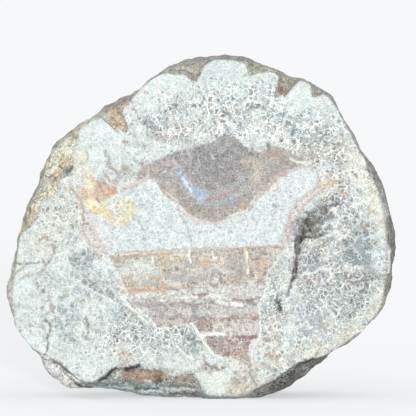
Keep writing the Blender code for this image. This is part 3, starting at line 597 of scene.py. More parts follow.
LEFT_MARKS = [
    ("cream_yellow", 6.0, 0.7, (-54, 112), (-52.5, 103)), ("straw", 2.2, 0.4, (-52.5, 109)),
    ("stone_grey", 0.9, 0.7, (-51.5, 111.6), (-50.7, 109.5), (-51, 107.8)),
    ("mauve", 1.5, 0.8, (-43, 111.3), (-42.6, 109.5)),
    ("mauve", 1.6, 0.95, (-41, 109), (-41.4, 105), (-39.5, 103.3), (-37.4, 102.4)),
    ("brown_grey", 0.9, 0.85, (-42, 102.5), (-42.3, 100), (-40.5, 98.2), (-38, 98.4)),
    ("slate", 1.5, 0.7, (-40, 100.8)), ("slate", 2.3, 0.85, (-36.8, 101.5), (-37.2, 98.8)),
    ("brown", 2.2, 0.7, (-35, 104), (-33, 103.7)), ("brown", 1.7, 0.85, (-34.5, 115.3), (-32.8, 115.5)),
    ("teal_grey", 1.6, 0.7, (-29.5, 107.3)), ("cream_yellow", 5.0, 0.85, (-51, 104), (-50, 96)),
    ("straw", 2.8, 0.65, (-49.5, 101), (-48.5, 96), (-50.5, 93)),
    ("rust", 1.0, 0.7, (-49.5, 101), (-47.8, 98), (-45, 95.5)),
    ("rust", 1.1, 0.75, (-44.5, 99), (-42, 96.5), (-41.8, 93)),
    ("brown", 1.2, 0.7, (-46, 98), (-44.6, 94.5), (-43, 92)),
    ("rust", 1.1, 0.7, (-40.5, 98), (-38.5, 96.5), (-38.8, 93)),
    ("seam", 0.9, 0.6, (-44, 102), (-42.5, 99.5)), ("rust", 3.4, 0.5, (-42, 95), (-38.5, 94)),
    ("rust", 3.0, 0.6, (-49, 92.4), (-46, 92)), ("apricot", 3.6, 0.9, (-44, 92), (-40, 92)),
    ("rust", 2.0, 0.7, (-43, 91), (-39, 93)), ("seam", 1.3, 0.75, (-47, 90.3), (-45.5, 88.8)),
    ("apricot", 4.8, 0.95, (-54, 93.8), (-50.3, 91.3)),
    ("rust", 1.0, 0.6, (-53.5, 95), (-51, 92.5), (-51.5, 90)),
    ("straw", 5.5, 1.0, (-49.8, 88), (-44.5, 86)),
    ("ochre", 1.3, 0.75, (-50.5, 84.5), (-46.5, 84), (-43, 85)),
    ("cream_yellow", 2.2, 0.7, (-50, 89), (-46.5, 87.8)),
    ("cream_yellow", 4.0, 0.8, (-40, 90), (-37, 90.5)), ("ochre", 2.0, 0.9, (-40.3, 84)),
    ("brown", 1.2, 0.7, (-38.7, 81.3)), ("straw", 4.5, 0.8, (-36, 86.8), (-32, 88), (-32.5, 82.5)),
    ("straw", 4.0, 0.6, (-42, 82), (-38, 79.5), (-35, 81)), ("ochre", 1.6, 0.75, (-34, 79.5), (-33, 78.3)),
    ("brown_grey", 1.1, 0.85, (-58, 94.7), (-56, 92.2), (-53.5, 89), (-52.6, 85.5), (-52.7, 80)),
    ("white", 3.6, 0.85, (-60.6, 98)), ("stone_grey", 1.3, 0.5, (-60, 98.2)),
    ("slate", 1.6, 0.9, (-62.3, 91.6)), ("ochre", 2.0, 0.8, (-60.5, 94)),
    ("cream_white", 5.0, 0.8, (-56.5, 100), (-55, 96)),
    ("dark_mauve", 1.1, 0.85, (-68, 69.5), (-66, 69.3), (-65.6, 66), (-68, 62.5), (-69.8, 60)),
    ("brown", 1.2, 0.8, (-72.3, 71.6), (-69.7, 74), (-68.8, 71.3)),
    ("seam", 1.0, 0.8, (-83, 61.3), (-78, 61), (-72.5, 61.6)),
    ("brown", 1.0, 0.7, (-83.7, 56), (-81, 58.5), (-78, 61)),
    ("brown_grey", 1.0, 0.8, (-69.5, 59), (-73, 56.3), (-78.5, 55.7), (-81, 54)),
    ("teal_grey", 3.6, 0.85, (-57.5, 63.6), (-52, 64.2), (-50, 62.5)),
    ("dark_slate", 1.6, 0.7, (-58.3, 63.5)), ("slate_blue", 2.8, 0.8, (-53, 60.5), (-50, 60.5)),
    ("teal_grey", 3.4, 0.8, (-52, 54), (-47, 49.5), (-40, 46)),
    ("slate_blue", 3.0, 0.5, (-44, 53), (-40, 50)),
    ("white", 1.2, 0.55, (-54.5, 51.3), (-48.5, 49), (-44.5, 46.7), (-37.5, 42.8)),
    ("white", 1.1, 0.5, (-35.5, 43.5), (-31.5, 41), (-32.5, 36.5), (-36, 34)),
    ("seam", 0.9, 0.85, (-70.6, 36.9), (-68.9, 35), (-67.4, 32.8), (-68, 30.6), (-69, 27.5),
     (-68.4, 24.8), (-69.3, 22), (-70.4, 20)),
    ("stone_grey", 0.9, 0.7, (-68, 48.5), (-68.4, 46), (-67, 43), (-67.5, 40), (-70.2, 37.8)),
    ("brown_grey", 1.6, 0.7, (-67.3, 43), (-66.5, 41)), ("slate_blue", 7.0, 0.6, (-64, 40), (-62, 34.5)),
    ("slate", 1.4, 0.9, (-77, 33.5)), ("slate_blue", 2.2, 0.95, (-70.7, 33)),
    ("stone_grey", 1.5, 0.8, (-80.5, 30.8)), ("stone_grey", 1.4, 0.7, (-74, 24.3)),
    ("seam", 0.9, 0.7, (-51.3, 36.5), (-50.4, 33.8), (-50.8, 30.2), (-51.8, 27)),
    ("slate_blue", 3.2, 0.7, (-57.5, 41), (-55.5, 41)), ("lavender", 2.6, 0.8, (-45.5, 37.5), (-45, 36)),
    ("slate", 2.3, 0.7, (-48, 30.8), (-45, 30.5)), ("slate", 3.2, 0.75, (-60, 27.8), (-57, 27)),
    ("stone_grey", 2.0, 0.7, (-56.3, 23.5)), ("moss", 4.0, 0.5, (-60, 48)),
    ("teal_grey", 3.4, 0.85, (-35, 43), (-33.5, 37), (-36, 31), (-40, 24.8)),
    ("slate_blue", 9.0, 0.4, (-31, 33), (-27, 29)), ("dark_slate", 2.6, 0.35, (-30, 37), (-25, 34)),
    ("slate", 3.0, 0.7, (-12, 33), (-8, 31)), ("teal_grey", 3.0, 0.7, (-16, 30), (-15, 27)),
    ("dark_slate", 2.2, 0.7, (-5, 27.5), (-2.5, 26)), ("teal_grey", 2.6, 0.7, (-7, 25), (-3, 22)),
    ("slate_blue", 3.4, 0.6, (-19, 21), (-18, 19)), ("white", 1.2, 0.7, (-11.5, 25), (-8, 21), (-4, 18.5)),
    ("cream_white", 3.0, 0.8, (-12, 15.5), (-6, 15)),
]
RIGHT_MARKS = [
    ("dove", 1.3, 0.7, (79.2, 95), (81.8, 85), (83, 76), (83.4, 67), (83.3, 57), (82.3, 48)),
    ("steel", 2.2, 0.65, (68, 70), (72, 67)), ("steel", 2.2, 0.65, (71, 71.5), (75, 69)),
    ("deep_steel", 1.8, 0.6, (66, 66.5), (69.5, 63.5)), ("deep_steel", 1.9, 0.6, (72.5, 68.5), (73, 65)),
    ("slate", 1.8, 0.5, (60, 49), (64, 45)), ("stone_grey", 7.0, 0.8, (47, 79), (48.5, 75.5)),
    ("ravine_grey", 5.0, 0.8, (49, 79.8), (53.5, 79.8)),
    ("olive_grey", 1.1, 0.9, (46, 81.7), (50, 81.8), (53, 80)),
    ("olive_grey", 1.1, 0.85, (45, 77), (49, 78.3), (53, 77.5)),
    ("stone_grey", 1.1, 0.85, (47, 75), (51, 75.5), (54, 78)),
    # The black-brown, dark-slate, seam and dark-brown strokes in the next ten lines lie along the ravine and
    # its crack: partly dark stone, partly painted shade in the recess.
    ("black_brown", 2.0, 0.5, (47, 81), (46, 77), (46.5, 74)),
    ("warm_grey", 1.3, 0.9, (44.5, 79.5), (47.5, 77.2), (50.5, 76.6)),
    ("straw_white", 1.1, 0.85, (45.5, 73.6), (48.5, 74.2)),
    ("black_brown", 1.2, 0.85, (47.2, 79), (48.8, 75.8)),
    ("warm_grey", 1.2, 0.85, (43.8, 70), (45, 67.5), (44.2, 64)),
    ("seam", 1.0, 0.85, (46, 72.8), (50, 72.9), (54.5, 74), (56, 75)),
    ("dark_slate", 3.4, 0.9, (44, 72), (43.5, 69), (43, 66), (43.3, 63)),
    ("black_brown", 1.8, 0.75, (45.6, 74.5), (44.8, 71.5)),
    ("seam", 1.3, 0.9, (42.8, 62), (42.5, 58.5), (43, 56), (41.5, 54)),
    ("dark_brown", 1.4, 0.85, (41.3, 58), (41, 54.5), (40.2, 51.5), (39.2, 48), (38.5, 46.5)),
    # The dark-slate strokes at the ravine's upper end are partly dark stone, partly painted shade in the
    # recess.
    ("dark_slate", 4.0, 0.9, (55, 86.5), (56.3, 83)), ("teal_grey", 4.0, 0.85, (58.5, 88.2), (62, 88.6)),
    ("dark_slate", 2.2, 0.8, (56.5, 81.8), (59, 82.3)), ("white", 2.1, 1.0, (58.2, 85.5), (58.8, 86)),
    ("white", 1.4, 0.85, (61, 86.4)), ("olive_grey", 1.2, 0.6, (51, 89), (54.5, 87.5)),
    ("cream_yellow", 3.0, 0.7, (54, 91.5), (60, 94)),
    ("slate_blue", 3.6, 0.85, (55, 77.3), (58.5, 79.3), (62, 81)),
    ("cream_white", 3.0, 0.85, (48, 70.3), (53, 70.8), (58, 74.8)),
    ("steel", 1.9, 0.8, (53.5, 71.8), (59.5, 72.3)), ("steel", 5.0, 0.65, (50, 67), (54, 65)),
    ("rosy_brown", 2.2, 0.5, (54.5, 64), (56, 65.5)), ("cream_white", 3.0, 0.7, (57, 67.3), (61, 65.8)),
    ("deep_steel", 5.5, 0.85, (64.5, 67.5), (69, 64)), ("deep_steel", 6.0, 0.9, (71, 68.5), (77, 69)),
    ("pale_blue", 1.3, 0.85, (72, 72), (77, 74), (80.5, 73)),
    ("steel", 1.6, 0.8, (70, 72), (72, 65.5), (76, 62)), ("deep_steel", 3.4, 0.9, (70.5, 64), (75, 61)),
    ("pale_blue", 1.6, 0.8, (74, 66.5), (79.5, 65.5)),
    ("steel", 1.7, 0.8, (72, 61), (76.5, 57.5), (79, 54.5)),
    ("pale_blue", 1.6, 0.7, (77.5, 60.5), (81, 57.5)), ("straw_grey", 2.6, 0.9, (80.5, 55.7), (83, 55.2)),
    # The dark-slate dot at (79.7, 54.2) is painted shade in the same notch between two lobes of the right
    # edge.
    ("dark_slate", 1.4, 0.9, (79.7, 54.2)), ("olive_grey", 2.6, 0.8, (75.5, 55.5), (79.5, 53.3)),
    ("seam", 1.2, 0.9, (73.4, 56.5), (73.8, 53), (73, 48.5)), ("brick", 1.6, 0.9, (69.6, 100)),
    ("brick", 1.9, 0.9, (72.3, 78), (73.3, 76.8)), ("slate", 2.1, 0.9, (69.8, 76.3), (71.5, 77)),
    ("olive_grey", 2.5, 0.85, (77.5, 76), (79, 76)), ("teal_grey", 2.0, 0.9, (64.8, 79.5)),
    ("slate", 1.7, 0.85, (72, 86.7), (72.4, 85.3)), ("slate", 1.7, 0.85, (71, 93.5), (71.5, 92)),
    ("mauve", 4.4, 0.75, (63, 96), (66, 95)), ("rust", 1.6, 0.5, (62, 92.3), (65, 92)),
    ("straw", 2.4, 0.5, (75, 95), (76, 88), (75.5, 83)),
    ("cream_yellow", 5.5, 0.75, (73.5, 98), (77, 92), (76, 86)),
    ("olive_grey", 1.1, 0.7, (74, 87.5), (75.7, 85), (74.5, 82)),
    ("white", 2.6, 0.85, (82, 87), (83.5, 83)), ("white", 2.6, 0.85, (82.7, 70.5), (84.3, 66.5), (83, 62)),
    ("white", 3.0, 0.7, (73.5, 101.5)),
    ("white", 1.6, 0.7, (44.5, 55.6), (49.5, 56.8), (53.5, 58.7), (57.5, 58.5), (58.7, 56), (56.8, 53)),
    ("white", 1.0, 0.5, (53, 55), (51, 51.5), (50.2, 48.5), (52, 47.3), (54, 51), (56.5, 53.5)),
    ("brown_grey", 4.2, 0.85, (47.8, 54), (50.5, 53.2)), ("dark_slate", 1.5, 0.8, (53, 54.3)),
    ("slate_blue", 3.0, 0.8, (54.5, 60.3), (59.5, 59.6)),
    ("steel", 2.0, 0.7, (46, 59), (51, 59.5), (55, 61.5)),
    ("slate_blue", 2.2, 0.8, (51.4, 50.5), (51.6, 48.5)), ("steel", 4.2, 0.7, (56, 51), (59, 47.8)),
    ("slate", 9.0, 0.55, (60, 56), (65, 50), (66, 43)), ("brown_grey", 4.5, 0.4, (66, 58), (68, 52)),
    ("cream_white", 3.0, 0.6, (64.5, 60), (67, 58)),
    ("cream_yellow", 5.0, 0.85, (80.5, 50), (79, 44), (75.5, 38)), ("mint_white", 3.4, 0.7, (78, 51)),
    ("pale_blue", 5.0, 0.8, (74.7, 44.5), (73, 40)), ("teal_grey", 1.8, 0.85, (72, 46.3)),
    ("teal_grey", 3.4, 0.6, (44, 51), (46, 49)),
    ("dark_teal", 3.2, 1.0, (34.2, 44), (34.4, 42), (35.2, 40.2)),
    ("dark_teal", 1.5, 0.85, (34.2, 46.8), (34.2, 44.5)), ("stone_grey", 4.4, 0.65, (33, 37.5), (37, 37)),
    ("lavender", 7.0, 0.8, (46.5, 37), (50, 34.5)), ("mint_white", 2.6, 0.9, (48, 32.3)),
    ("lavender", 3.4, 0.8, (45.5, 30), (53, 31)), ("stone_grey", 1.9, 0.75, (52.5, 38), (54, 34), (56, 31)),
    ("cream_white", 4.6, 0.9, (55.5, 40.5), (59, 37)), ("brick", 1.7, 0.75, (30.5, 31.5), (32, 31.5)),
    ("brown", 1.5, 0.85, (28.5, 27.5), (30.5, 26.6)), ("olive_grey", 1.6, 0.85, (43, 28.8)),
    ("brick", 1.5, 0.8, (32.5, 22)), ("rust", 1.2, 0.85, (29, 20.2), (32, 19.6), (35, 18.8)),
    ("tan", 3.0, 0.7, (57, 33)), ("slate_blue", 2.6, 0.8, (28, 40), (29.5, 39)),
    ("straw_grey", 1.1, 0.75, (68, 33), (65, 30), (62.3, 27.3)), ("slate", 3.0, 0.5, (31, 47), (30, 44)),
    ("steel", 3.6, 0.6, (62, 39.5), (66, 37.5)), ("slate_blue", 3.0, 0.6, (42, 43), (40, 39)),
]
BASE_MARKS = [
    ("apricot", 4.4, 0.7, (-36, 20.6), (-32, 19.3)),
    ("brown", 0.9, 0.7, (-37.5, 20), (-33, 21.6), (-30.8, 19.5)),
    ("cream_white", 9.0, 0.9, (5, 8.5), (8, 7)), ("tan", 7.5, 0.85, (15, 5), (20, 4.5)),
    ("slate", 2.8, 0.85, (16, 11.7)), ("brown_grey", 3.0, 0.7, (14.5, 9), (19, 9)),
    ("dark_mauve", 3.4, 0.85, (2.8, 14), (4, 12.5)), ("dark_maroon", 1.8, 0.9, (9.5, 14.4)),
    ("seam", 1.0, 0.85, (2, 16.6), (4.5, 15), (6.6, 14.3)), ("slate", 1.5, 0.8, (8.8, 17)),
    ("brown", 1.8, 0.75, (1.5, 19)), ("cream_yellow", 3.4, 0.7, (13, 17.5), (17, 16)),
    ("brown", 1.5, 0.7, (28, 16), (31, 14)), ("dark_mauve", 1.7, 0.6, (31.5, 13)),
    # The wide dark-brown stroke here lies on the underside at the bottom right: partly the crust's own
    # colour, partly painted shade.
    ("brown", 1.3, 0.6, (33, 11), (35.5, 13)), ("dark_brown", 5.0, 0.75, (34, 5), (38.5, 9)),
    ("brown_grey", 4.0, 0.6, (28, 5), (31.5, 9.5)),
    # The two black-brown lines here are painted shade down the deep groove at the lower left.
    ("black_brown", 1.8, 0.9, (-38.5, 14), (-40.5, 12), (-43, 9.5), (-46, 8)),
    ("black_brown", 2.0, 0.95, (-33.5, 13.2), (-30.5, 14.4), (-28, 15)),
    ("white", 1.3, 0.85, (-37, 12), (-38.5, 9)), ("rust", 6.5, 0.75, (-33, 10.8), (-27, 10.5), (-20, 10)),
    ("apricot", 2.4, 0.7, (-29, 12), (-24, 11)), ("black_brown", 2.2, 0.95, (-18.5, 8.2)),
    ("dark_brown", 1.0, 0.85, (-20, 11.5), (-20, 4)), ("moss", 3.6, 0.7, (-31, 6.5), (-24, 5.5)),
    ("dark_slate", 2.6, 0.85, (-32.5, 8), (-31, 6)),
    # The brown stroke along the crack in the lower-left lobe is painted shade.
    ("brown", 2.6, 0.9, (-66, 17.6), (-62.5, 15.6), (-60.5, 13)),
    ("olive_grey", 3.0, 0.85, (-55, 7), (-51, 6.5)),
    ("dark_slate", 2.6, 0.75, (-50, 6.6), (-44, 6), (-38, 6)),
    ("lavender", 1.8, 0.85, (-1, 2), (5, 0.8), (12, 0.6)),
    # The wide black-brown stroke here lies on the underside at the bottom right: partly the crust's own
    # colour, partly painted shade.
    ("black_brown", 5.0, 0.8, (37.5, 8), (39.5, 5.5)), ("stone_grey", 5.0, 0.7, (46, 12.5), (50, 11)),
    ("black_brown", 1.4, 0.8, (34, 9.5), (38, 12), (41, 14.5), (45, 16.5), (50, 18.5)),
    ("white", 1.6, 0.8, (-16, 4.5), (-10, 3.5)), ("white", 1.4, 0.8, (-8, 5), (-3, 4)),
    ("white", 1.3, 0.8, (-42, 5.3), (-36, 4.6), (-31, 4.2)),
    ("white", 1.2, 0.8, (-27, 3.4), (-21, 3), (-17, 2.4)),
    ("dark_teal", 1.2, 0.8, (-29, 4.6), (-23, 4.2), (-19, 4.4)),
    ("dark_teal", 1.1, 0.8, (-15, 2.3), (-8, 2), (-3, 1.6)), ("white", 1.2, 0.8, (-26, 8.3), (-22, 7.4)),
    ("dark_brown", 1.0, 0.5, (-27, 13.2), (-22, 12.8), (-17, 12.4)),
    ("black_brown", 1.2, 0.8, (-58, 8.5), (-54, 5.5), (-49, 4.6)),
    ("moss", 2.6, 0.7, (-40, 3.4), (-34, 2.6)), ("dark_slate", 1.6, 0.8, (-14, 6), (-6, 5.5), (-2, 5)),
    ("brown_grey", 3.0, 0.8, (-10, 9), (-4, 9)), ("olive_grey", 2.0, 0.7, (-18, 13.5), (-13, 13)),
    ("white", 2.2, 0.9, (-52, 2.5), (-47, 2.2)), ("dark_slate", 1.4, 0.7, (-44, 3), (-36, 2.5)),
]


PATCH_REACH, PATCH_FADE = 1.3, 0.7  # where a patch ends and the stretch where it fades, in its half sizes
STROKE_REACH, STROKE_FADE = 1.25, 0.7  # the same for a stroke, in half its width
FAR, TINY, LEAST_COVER = 1e9, 1e-12, 1e-6


def pigment(name, strength=1.0, light=FACE_LIGHT):
    """A colour of the palette in Blender's linear units, with the studio's light taken out."""
    shares = [value / 255 for value in PIGMENTS[name]]
    linear = [share / 12.92 if share <= 0.04045 else ((share + 0.055) / 1.055) ** 2.4 for share in shares]
    return [min(value / light, BRIGHTEST) for value in linear] + [strength]


def smooth_outline(points, steps=4):
    """The closed outline through these points, as a Catmull-Rom curve."""
    points = np.array(points, float)
    before, after, beyond = np.roll(points, 1, 0), np.roll(points, -1, 0), np.roll(points, -2, 0)
    rows = []
    for step in range(steps):
        t = step / steps
        rows.append(
            0.5 * (2 * points + (after - before) * t + (2 * before - 5 * points + 4 * after - beyond) * t * t
                   + (3 * points - before - 3 * after + beyond) * t ** 3)
        )
    return np.stack(rows, 1).reshape(-1, 2)


def segment_distance(x, z, start, end):
    """Millimetres from each place to the straight line from start to end."""
    run, rise = end[0] - start[0], end[1] - start[1]
    along = np.clip(((x - start[0]) * run + (z - start[1]) * rise) / (run * run + rise * rise + TINY), 0, 1)
    return np.hypot(x - start[0] - along * run, z - start[1] - along * rise)


def distance_outside(x, z, outline):
    """Millimetres from each place to the outline, below zero inside it."""
    corners = smooth_outline(outline)
    nearest = np.full(len(x), FAR)
    inside = np.zeros(len(x), bool)
    for start, end in zip(corners, np.roll(corners, -1, 0)):
        nearest = np.minimum(nearest, segment_distance(x, z, start, end))
        run, rise = end[0] - start[0], end[1] - start[1]
        crosses = (start[1] > z) != (end[1] > z)
        inside ^= crosses & (x < start[0] + run * (z - start[1]) / (rise if abs(rise) > TINY else TINY))
    return np.where(inside, -nearest, nearest)


def patch_share(x, z, centre_x, centre_z, half_width, half_height, turn):
    """1 in the middle of a soft-edged oval patch, falling to 0 a little outside it."""
    turn = math.radians(turn)
    across = (x - centre_x) * math.cos(turn) + (z - centre_z) * math.sin(turn)
    up = (z - centre_z) * math.cos(turn) - (x - centre_x) * math.sin(turn)
    reach = np.clip((PATCH_REACH - np.hypot(across / half_width, up / half_height)) / PATCH_FADE, 0, 1)
    return reach * reach * (3 - 2 * reach)


def laid_patches(x, z, under, patches, light=FACE_LIGHT):
    """Colour and cover left by patches laid one over another."""
    colour = np.tile(np.array(under, float), (len(x), 1))
    for name, *oval, strength in patches:
        share = patch_share(x, z, *oval) * strength
        over = np.array(pigment(name, light=light))
        cover = colour[:, 3] + (1 - colour[:, 3]) * share
        mix = share / np.maximum(cover, LEAST_COVER) if under[3] == 0 else share
        colour[:, :3] += (over[:3] - colour[:, :3]) * np.clip(mix, 0, 1)[:, None]
        colour[:, 3] = cover
    return colour


def laid_strengths(x, z, under, patches):
    """Strength left by patches laid one over another."""
    strengths = np.full(len(x), under)
    for strength, *oval in patches:
        strengths += (strength - strengths) * patch_share(x, z, *oval)
    return strengths


def laid_strokes(x, z, strokes):
    """Colour and cover left by strokes drawn one over another."""
    colour = np.zeros((len(x), 4))
    for name, width, strength, *path in strokes:
        corners = np.array(path + path[-1:], float)
        low, high = corners.min(0) - width, corners.max(0) + width
        near = np.nonzero((x > low[0]) & (x < high[0]) & (z > low[1]) & (z < high[1]))[0]
        reach = np.full(len(near), FAR)
        for start, end in zip(corners[:-1], corners[1:]):
            reach = np.minimum(reach, segment_distance(x[near], z[near], start, end))
        share = np.clip(STROKE_REACH - reach / (width * 0.5), 0, STROKE_FADE) / STROKE_FADE
        share *= share * (3 - 2 * share) * strength
        kept = colour[near, 3] * (1 - share)
        cover = kept + share
        over = np.array(pigment(name))[:3]
        mix = (share / np.maximum(cover, LEAST_COVER))[:, None]
        colour[near, :3] += (over - colour[near, :3]) * mix
        colour[near, 3] = cover
    return colour


NOISE_SEED = 11  # keeps the drift below the same in every run
noise.seed_set(NOISE_SEED)

# Drifts that fray what is drawn and roughen the cuts: (size of the waves, how far they push), in millimetres.
BROAD_DRIFT, FINE_DRIFT, BRUSH_DRIFT = (7.0, 3.5), (2.2, 2.0), (0.9, 0.5)
BREAK_DRIFT, RAVINE_DRIFT = (0.9, 1.4), (3.2, 2.0)
BRUSH_SHARE = 0.3  # how much of the fine drift moves a stroke


def wander(places, size, reach):
    """How far each place drifts, in waves of this size."""
    drift = [noise.noise_vector(place) for place in places / size]
    return np.array(drift) * reach


def keep_attribute(name, values):
    """Stores one colour or one number at each of the slice's vertices, for its material to read."""
    kind, field = ("FLOAT_COLOR", "color") if values.ndim == 2 else ("FLOAT", "value")
    slice_data.attributes.new(name, kind, "POINT").data.foreach_set(field, values.astype(np.float32).ravel())


places = vertex_places(slice_data) * MM
xs, ys, zs = places.T
fine_drift = wander(places, *FINE_DRIFT)
depth = ys - FRONT * MM
ragged = fine_drift[:, 1] + wander(places, *BREAK_DRIFT)[:, 1]
in_ravine = (np.abs(xs - RAVINE_X) < RAVINE_HALF_WIDTH) & (np.abs(zs - RAVINE_Z) < RAVINE_HALF_HEIGHT)
ravine_wall = (depth > CUT_START) & (depth < CUT_END) & in_ravine
for fill, *oval in FILLINGS:
    depth *= 1 - fill * patch_share(xs, zs, *oval) * (depth < CUT_END)
depth += ravine_wall * wander(places, *RAVINE_DRIFT)[:, 1]
depth += patch_share(xs, zs, *BROKEN_OVAL) * (BROKEN_DEPTH + ragged) * (depth < CUT_END)
places[:, 1] = np.maximum(depth, 0) + FRONT * MM
slice_data.vertices.foreach_set("co", (places / MM).astype(np.float32).ravel())

brushed = places + fine_drift * BRUSH_SHARE + wander(places, *BRUSH_DRIFT)
marks = LEFT_MARKS + RIGHT_MARKS + TOP_MARKS + DOME_MARKS + PALE_MARKS + BAND_MARKS + BASE_MARKS
for label, drawn in (("broad_marks", [mark for mark in marks if mark[1] >= BROAD]),
                     ("fine_marks", [mark for mark in marks if mark[1] < BROAD])):
    laid = laid_strokes(brushed[:, 0], brushed[:, 2], drawn)
    laid[:, 3] *= np.clip((FRONT * MM + MARK_DEPTH - ys) / MARK_FADE, 0, 1)
    keep_attribute(label, laid)
drifted = places + wander(places, *BROAD_DRIFT) + fine_drift
frayed = (drifted[:, 0], drifted[:, 2])
keep_attribute("ground", laid_patches(*frayed, pigment(GROUND), GROUND_PATCHES))
keep_attribute("rind", laid_patches(*frayed, pigment(RIND, light=RIM_LIGHT), RIND_PATCHES, RIM_LIGHT))
keep_attribute("stain", laid_patches(*frayed, pigment("ice", 0.0), STAIN_PATCHES))
keep_attribute("speckle", laid_strengths(*frayed, SPECKLE, SPECKLE_PATCHES))
keep_attribute("veining", laid_strengths(*frayed, VEINING, VEINING_PATCHES))
for label, outline in (("pale_band", PALE_BAND), ("heartwood", HEARTWOOD), ("banded_wood", BANDED_WOOD),
                       ("blue_streak", BLUE_STREAK)):
    keep_attribute(label, distance_outside(xs, zs, outline))

# Finish: the polished face, the sawn back and the rough rind, all in one material. Sizes are millimetres.

BAND_SLOPE = 0.06  # how much the bands of the lower wood rise to the right
VEIN_CELL, THREAD_CELL, FINE_CELL = 5.5, 2.6, 1.15  # the mineral net is drawn three times, at these sizes
VEIN_BRIGHT, THREAD_BRIGHT, FINE_BRIGHT, FINE_DARK = 0.7, 1.1, 0.4, 0.8  # how strongly each time
GRAIN_SIZE = 0.8
FRAY_SIZE, FRAY_REACH = 1.6, 3.0  # the zones' edges wander this far, in lumps of this size
SWAY_SCALE, SWAY_REACH = 0.55, 2.2  # what lies within a zone sways this far
BAND_WAVES = 3.0  # how far the bands bend up and down
FACE_EDGE, BACK_EDGE = (0.35, 0.7), (0.5, 0.9)  # depths over which polish and saw cut turn into rind
EDGE_SIZE, EDGE_REACH = 1.0, 0.8  # that border's lumps, and how far they push it
POLISHED, WEATHERED = 0.46, 0.9  # roughness of the face and of the rind
BUMP_SIZE, FACE_BUMP = 1.4, 0.12  # FACE_BUMP is the share of the finest relief that is left on the face
BUMP_DEPTH = 0.0012  # in metres

# Strengths in each zone: (dark specks, pale threads, large veins).
HEART_NET, PALE_NET, BANDED_NET, RIND_NET = (
    (0.55, 0.14, 0.10), (0.35, 0.60, 0.10), (0.60, 0.20, 0.08), (0.60, 0.15, 0.15),
)
SPECKLE_THREADS = 0.95  # pale threads for each share of dark specks in the ground

# Sizes of the figure's lumps, and how the place is squeezed so that they come out long or tall.
CLOUD_SIZE, COOL_SIZE, WARM_SIZE, WEAR_SIZE, STAIN_SIZE = 4.0, 5.0, 4.0, 1.1, 2.0
FIBRE_SIZE, WAVE_SIZE, STREAK_SIZE, UPRIGHT_SIZE = 0.9, 1.6, 1.2, 0.8
FIBRE_SQUEEZE, WAVE_SQUEEZE, STREAK_SQUEEZE = (1, 1, 0.5), (0.14, 1, 1), (0.3, 1, 1)
UPRIGHT_SQUEEZE, BLOCK_SQUEEZE, SEAM_SQUEEZE = (1, 1, 0.3), (0.22, 1, 0.42), (1, 0.6, 1.3)
MOTTLE_SIZE, SEAM_BEND_SCALE, SEAM_BEND, SEAM_SCALE = 2.6, 0.25, 6.0, 0.16

# Shifts that keep one pattern from lying on another.
COOL_SHIFT, WARM_SHIFT, FINE_SHIFT, WEAR_SHIFT = (40, 0, 0), (0, 0, 60), (11, 3, 5), (7, 2, 5)
SWIRL_SHIFT, PATCH_SHIFT = (17, 5, 9), (3, 31, 7)

# The mineral net, in shares of a cell: its bends, its lumps and the soft edges of threads, shades and specks.
NET_DRIFT_SCALE, NET_BEND, SWIRL_SIZE, PATCH_SIZE, CURL = 0.8, 1.5, 1.5, 1.8, 0.07
PATCH_EDGE, WALL_THREAD, CURL_THREAD, SPECK_EDGE = (0.42, 0.58), (0.12, 0.04), (0.022, 0.006), (0.42, 0.2)
SHADE_START, SHADE_END = (-0.17, -0.09), (-0.045, -0.065)

# What a darkened colour is multiplied by.
COOL_CELL, WARM_CELL, NET_SHADE = (0.70, 0.76, 0.82), (0.87, 0.82, 0.76), (0.62, 0.62, 0.62)
SPECK, FINE_SPECK, VEIN_SPECK = (0.28, 0.32, 0.35), (0.40, 0.42, 0.41), (0.55, 0.60, 0.62)
COOL_CLOUD, WARM_CLOUD, DARK_GRAIN = (0.70, 0.80, 0.88), (0.88, 0.80, 0.71), (0.50, 0.53, 0.52)
STREAK_SHADE, UPRIGHT_SHADE, BLOCK_SHADE = (0.52, 0.45, 0.40), (0.55, 0.46, 0.39), (0.78, 0.72, 0.66)
RIND_HOLLOW, RIND_SEAM = (0.60, 0.56, 0.51), (0.28, 0.25, 0.22)
WHITE = (1, 1, 1, 1)

# Heights of the lower wood's bands, and distances from the pale band into the heartwood, with their colours.
BANDS = [
    (67.6, "rosy_brown"), (65.6, "rosy_brown"), (65.0, "tan"), (62.8, "tan"), (60.8, "warm_grey"),
    (58.5, "tan"), (56.5, "tan"), (54.5, "brown_grey"), (52.8, "tan"), (51.0, "orange_brown"),
    (50.2, "grey_rose"), (49.4, "white"), (47.8, "white"), (47.2, "grey_rose"), (46.5, "rose_white"),
    (44.4, "rose_white"), (43.7, "dark_mauve"), (42.8, "mauve"), (40.4, "grey_rose"), (38.2, "grey_rose"),
    (37.0, "mauve"), (36.0, "maroon"), (33.4, "rosy_brown"), (31.6, "grey_rose"), (29.6, "rose_white"),
    (28.5, "rose_white"), (27.9, "dark_maroon"), (21.5, "maroon"), (14.5, "rosy_brown"),
]
RINGS = [
    (0.0, "rose"), (1.2, "taupe"), (4.5, "taupe"), (6.0, "dove"), (8.0, "blue_steel"), (9.5, "dove"),
    (12.0, "mauve"), (15.0, "purple_grey"), (24.0, "purple_grey"), (34.0, "dove"),
]


def colour_mix(tree, share, under, over, mode="MIX"):
    """Under where the share is 0, over where it is 1."""
    inputs = {0: share, 6: under, 7: over}
    return put(tree, "ShaderNodeMix", inputs, data_type="RGBA", blend_type=mode).outputs[2]


def dimmed(tree, share, colour, factor):
    """The colour multiplied by this factor where the share is 1."""
    return colour_mix(tree, share, colour, (*factor, 1), "MULTIPLY")


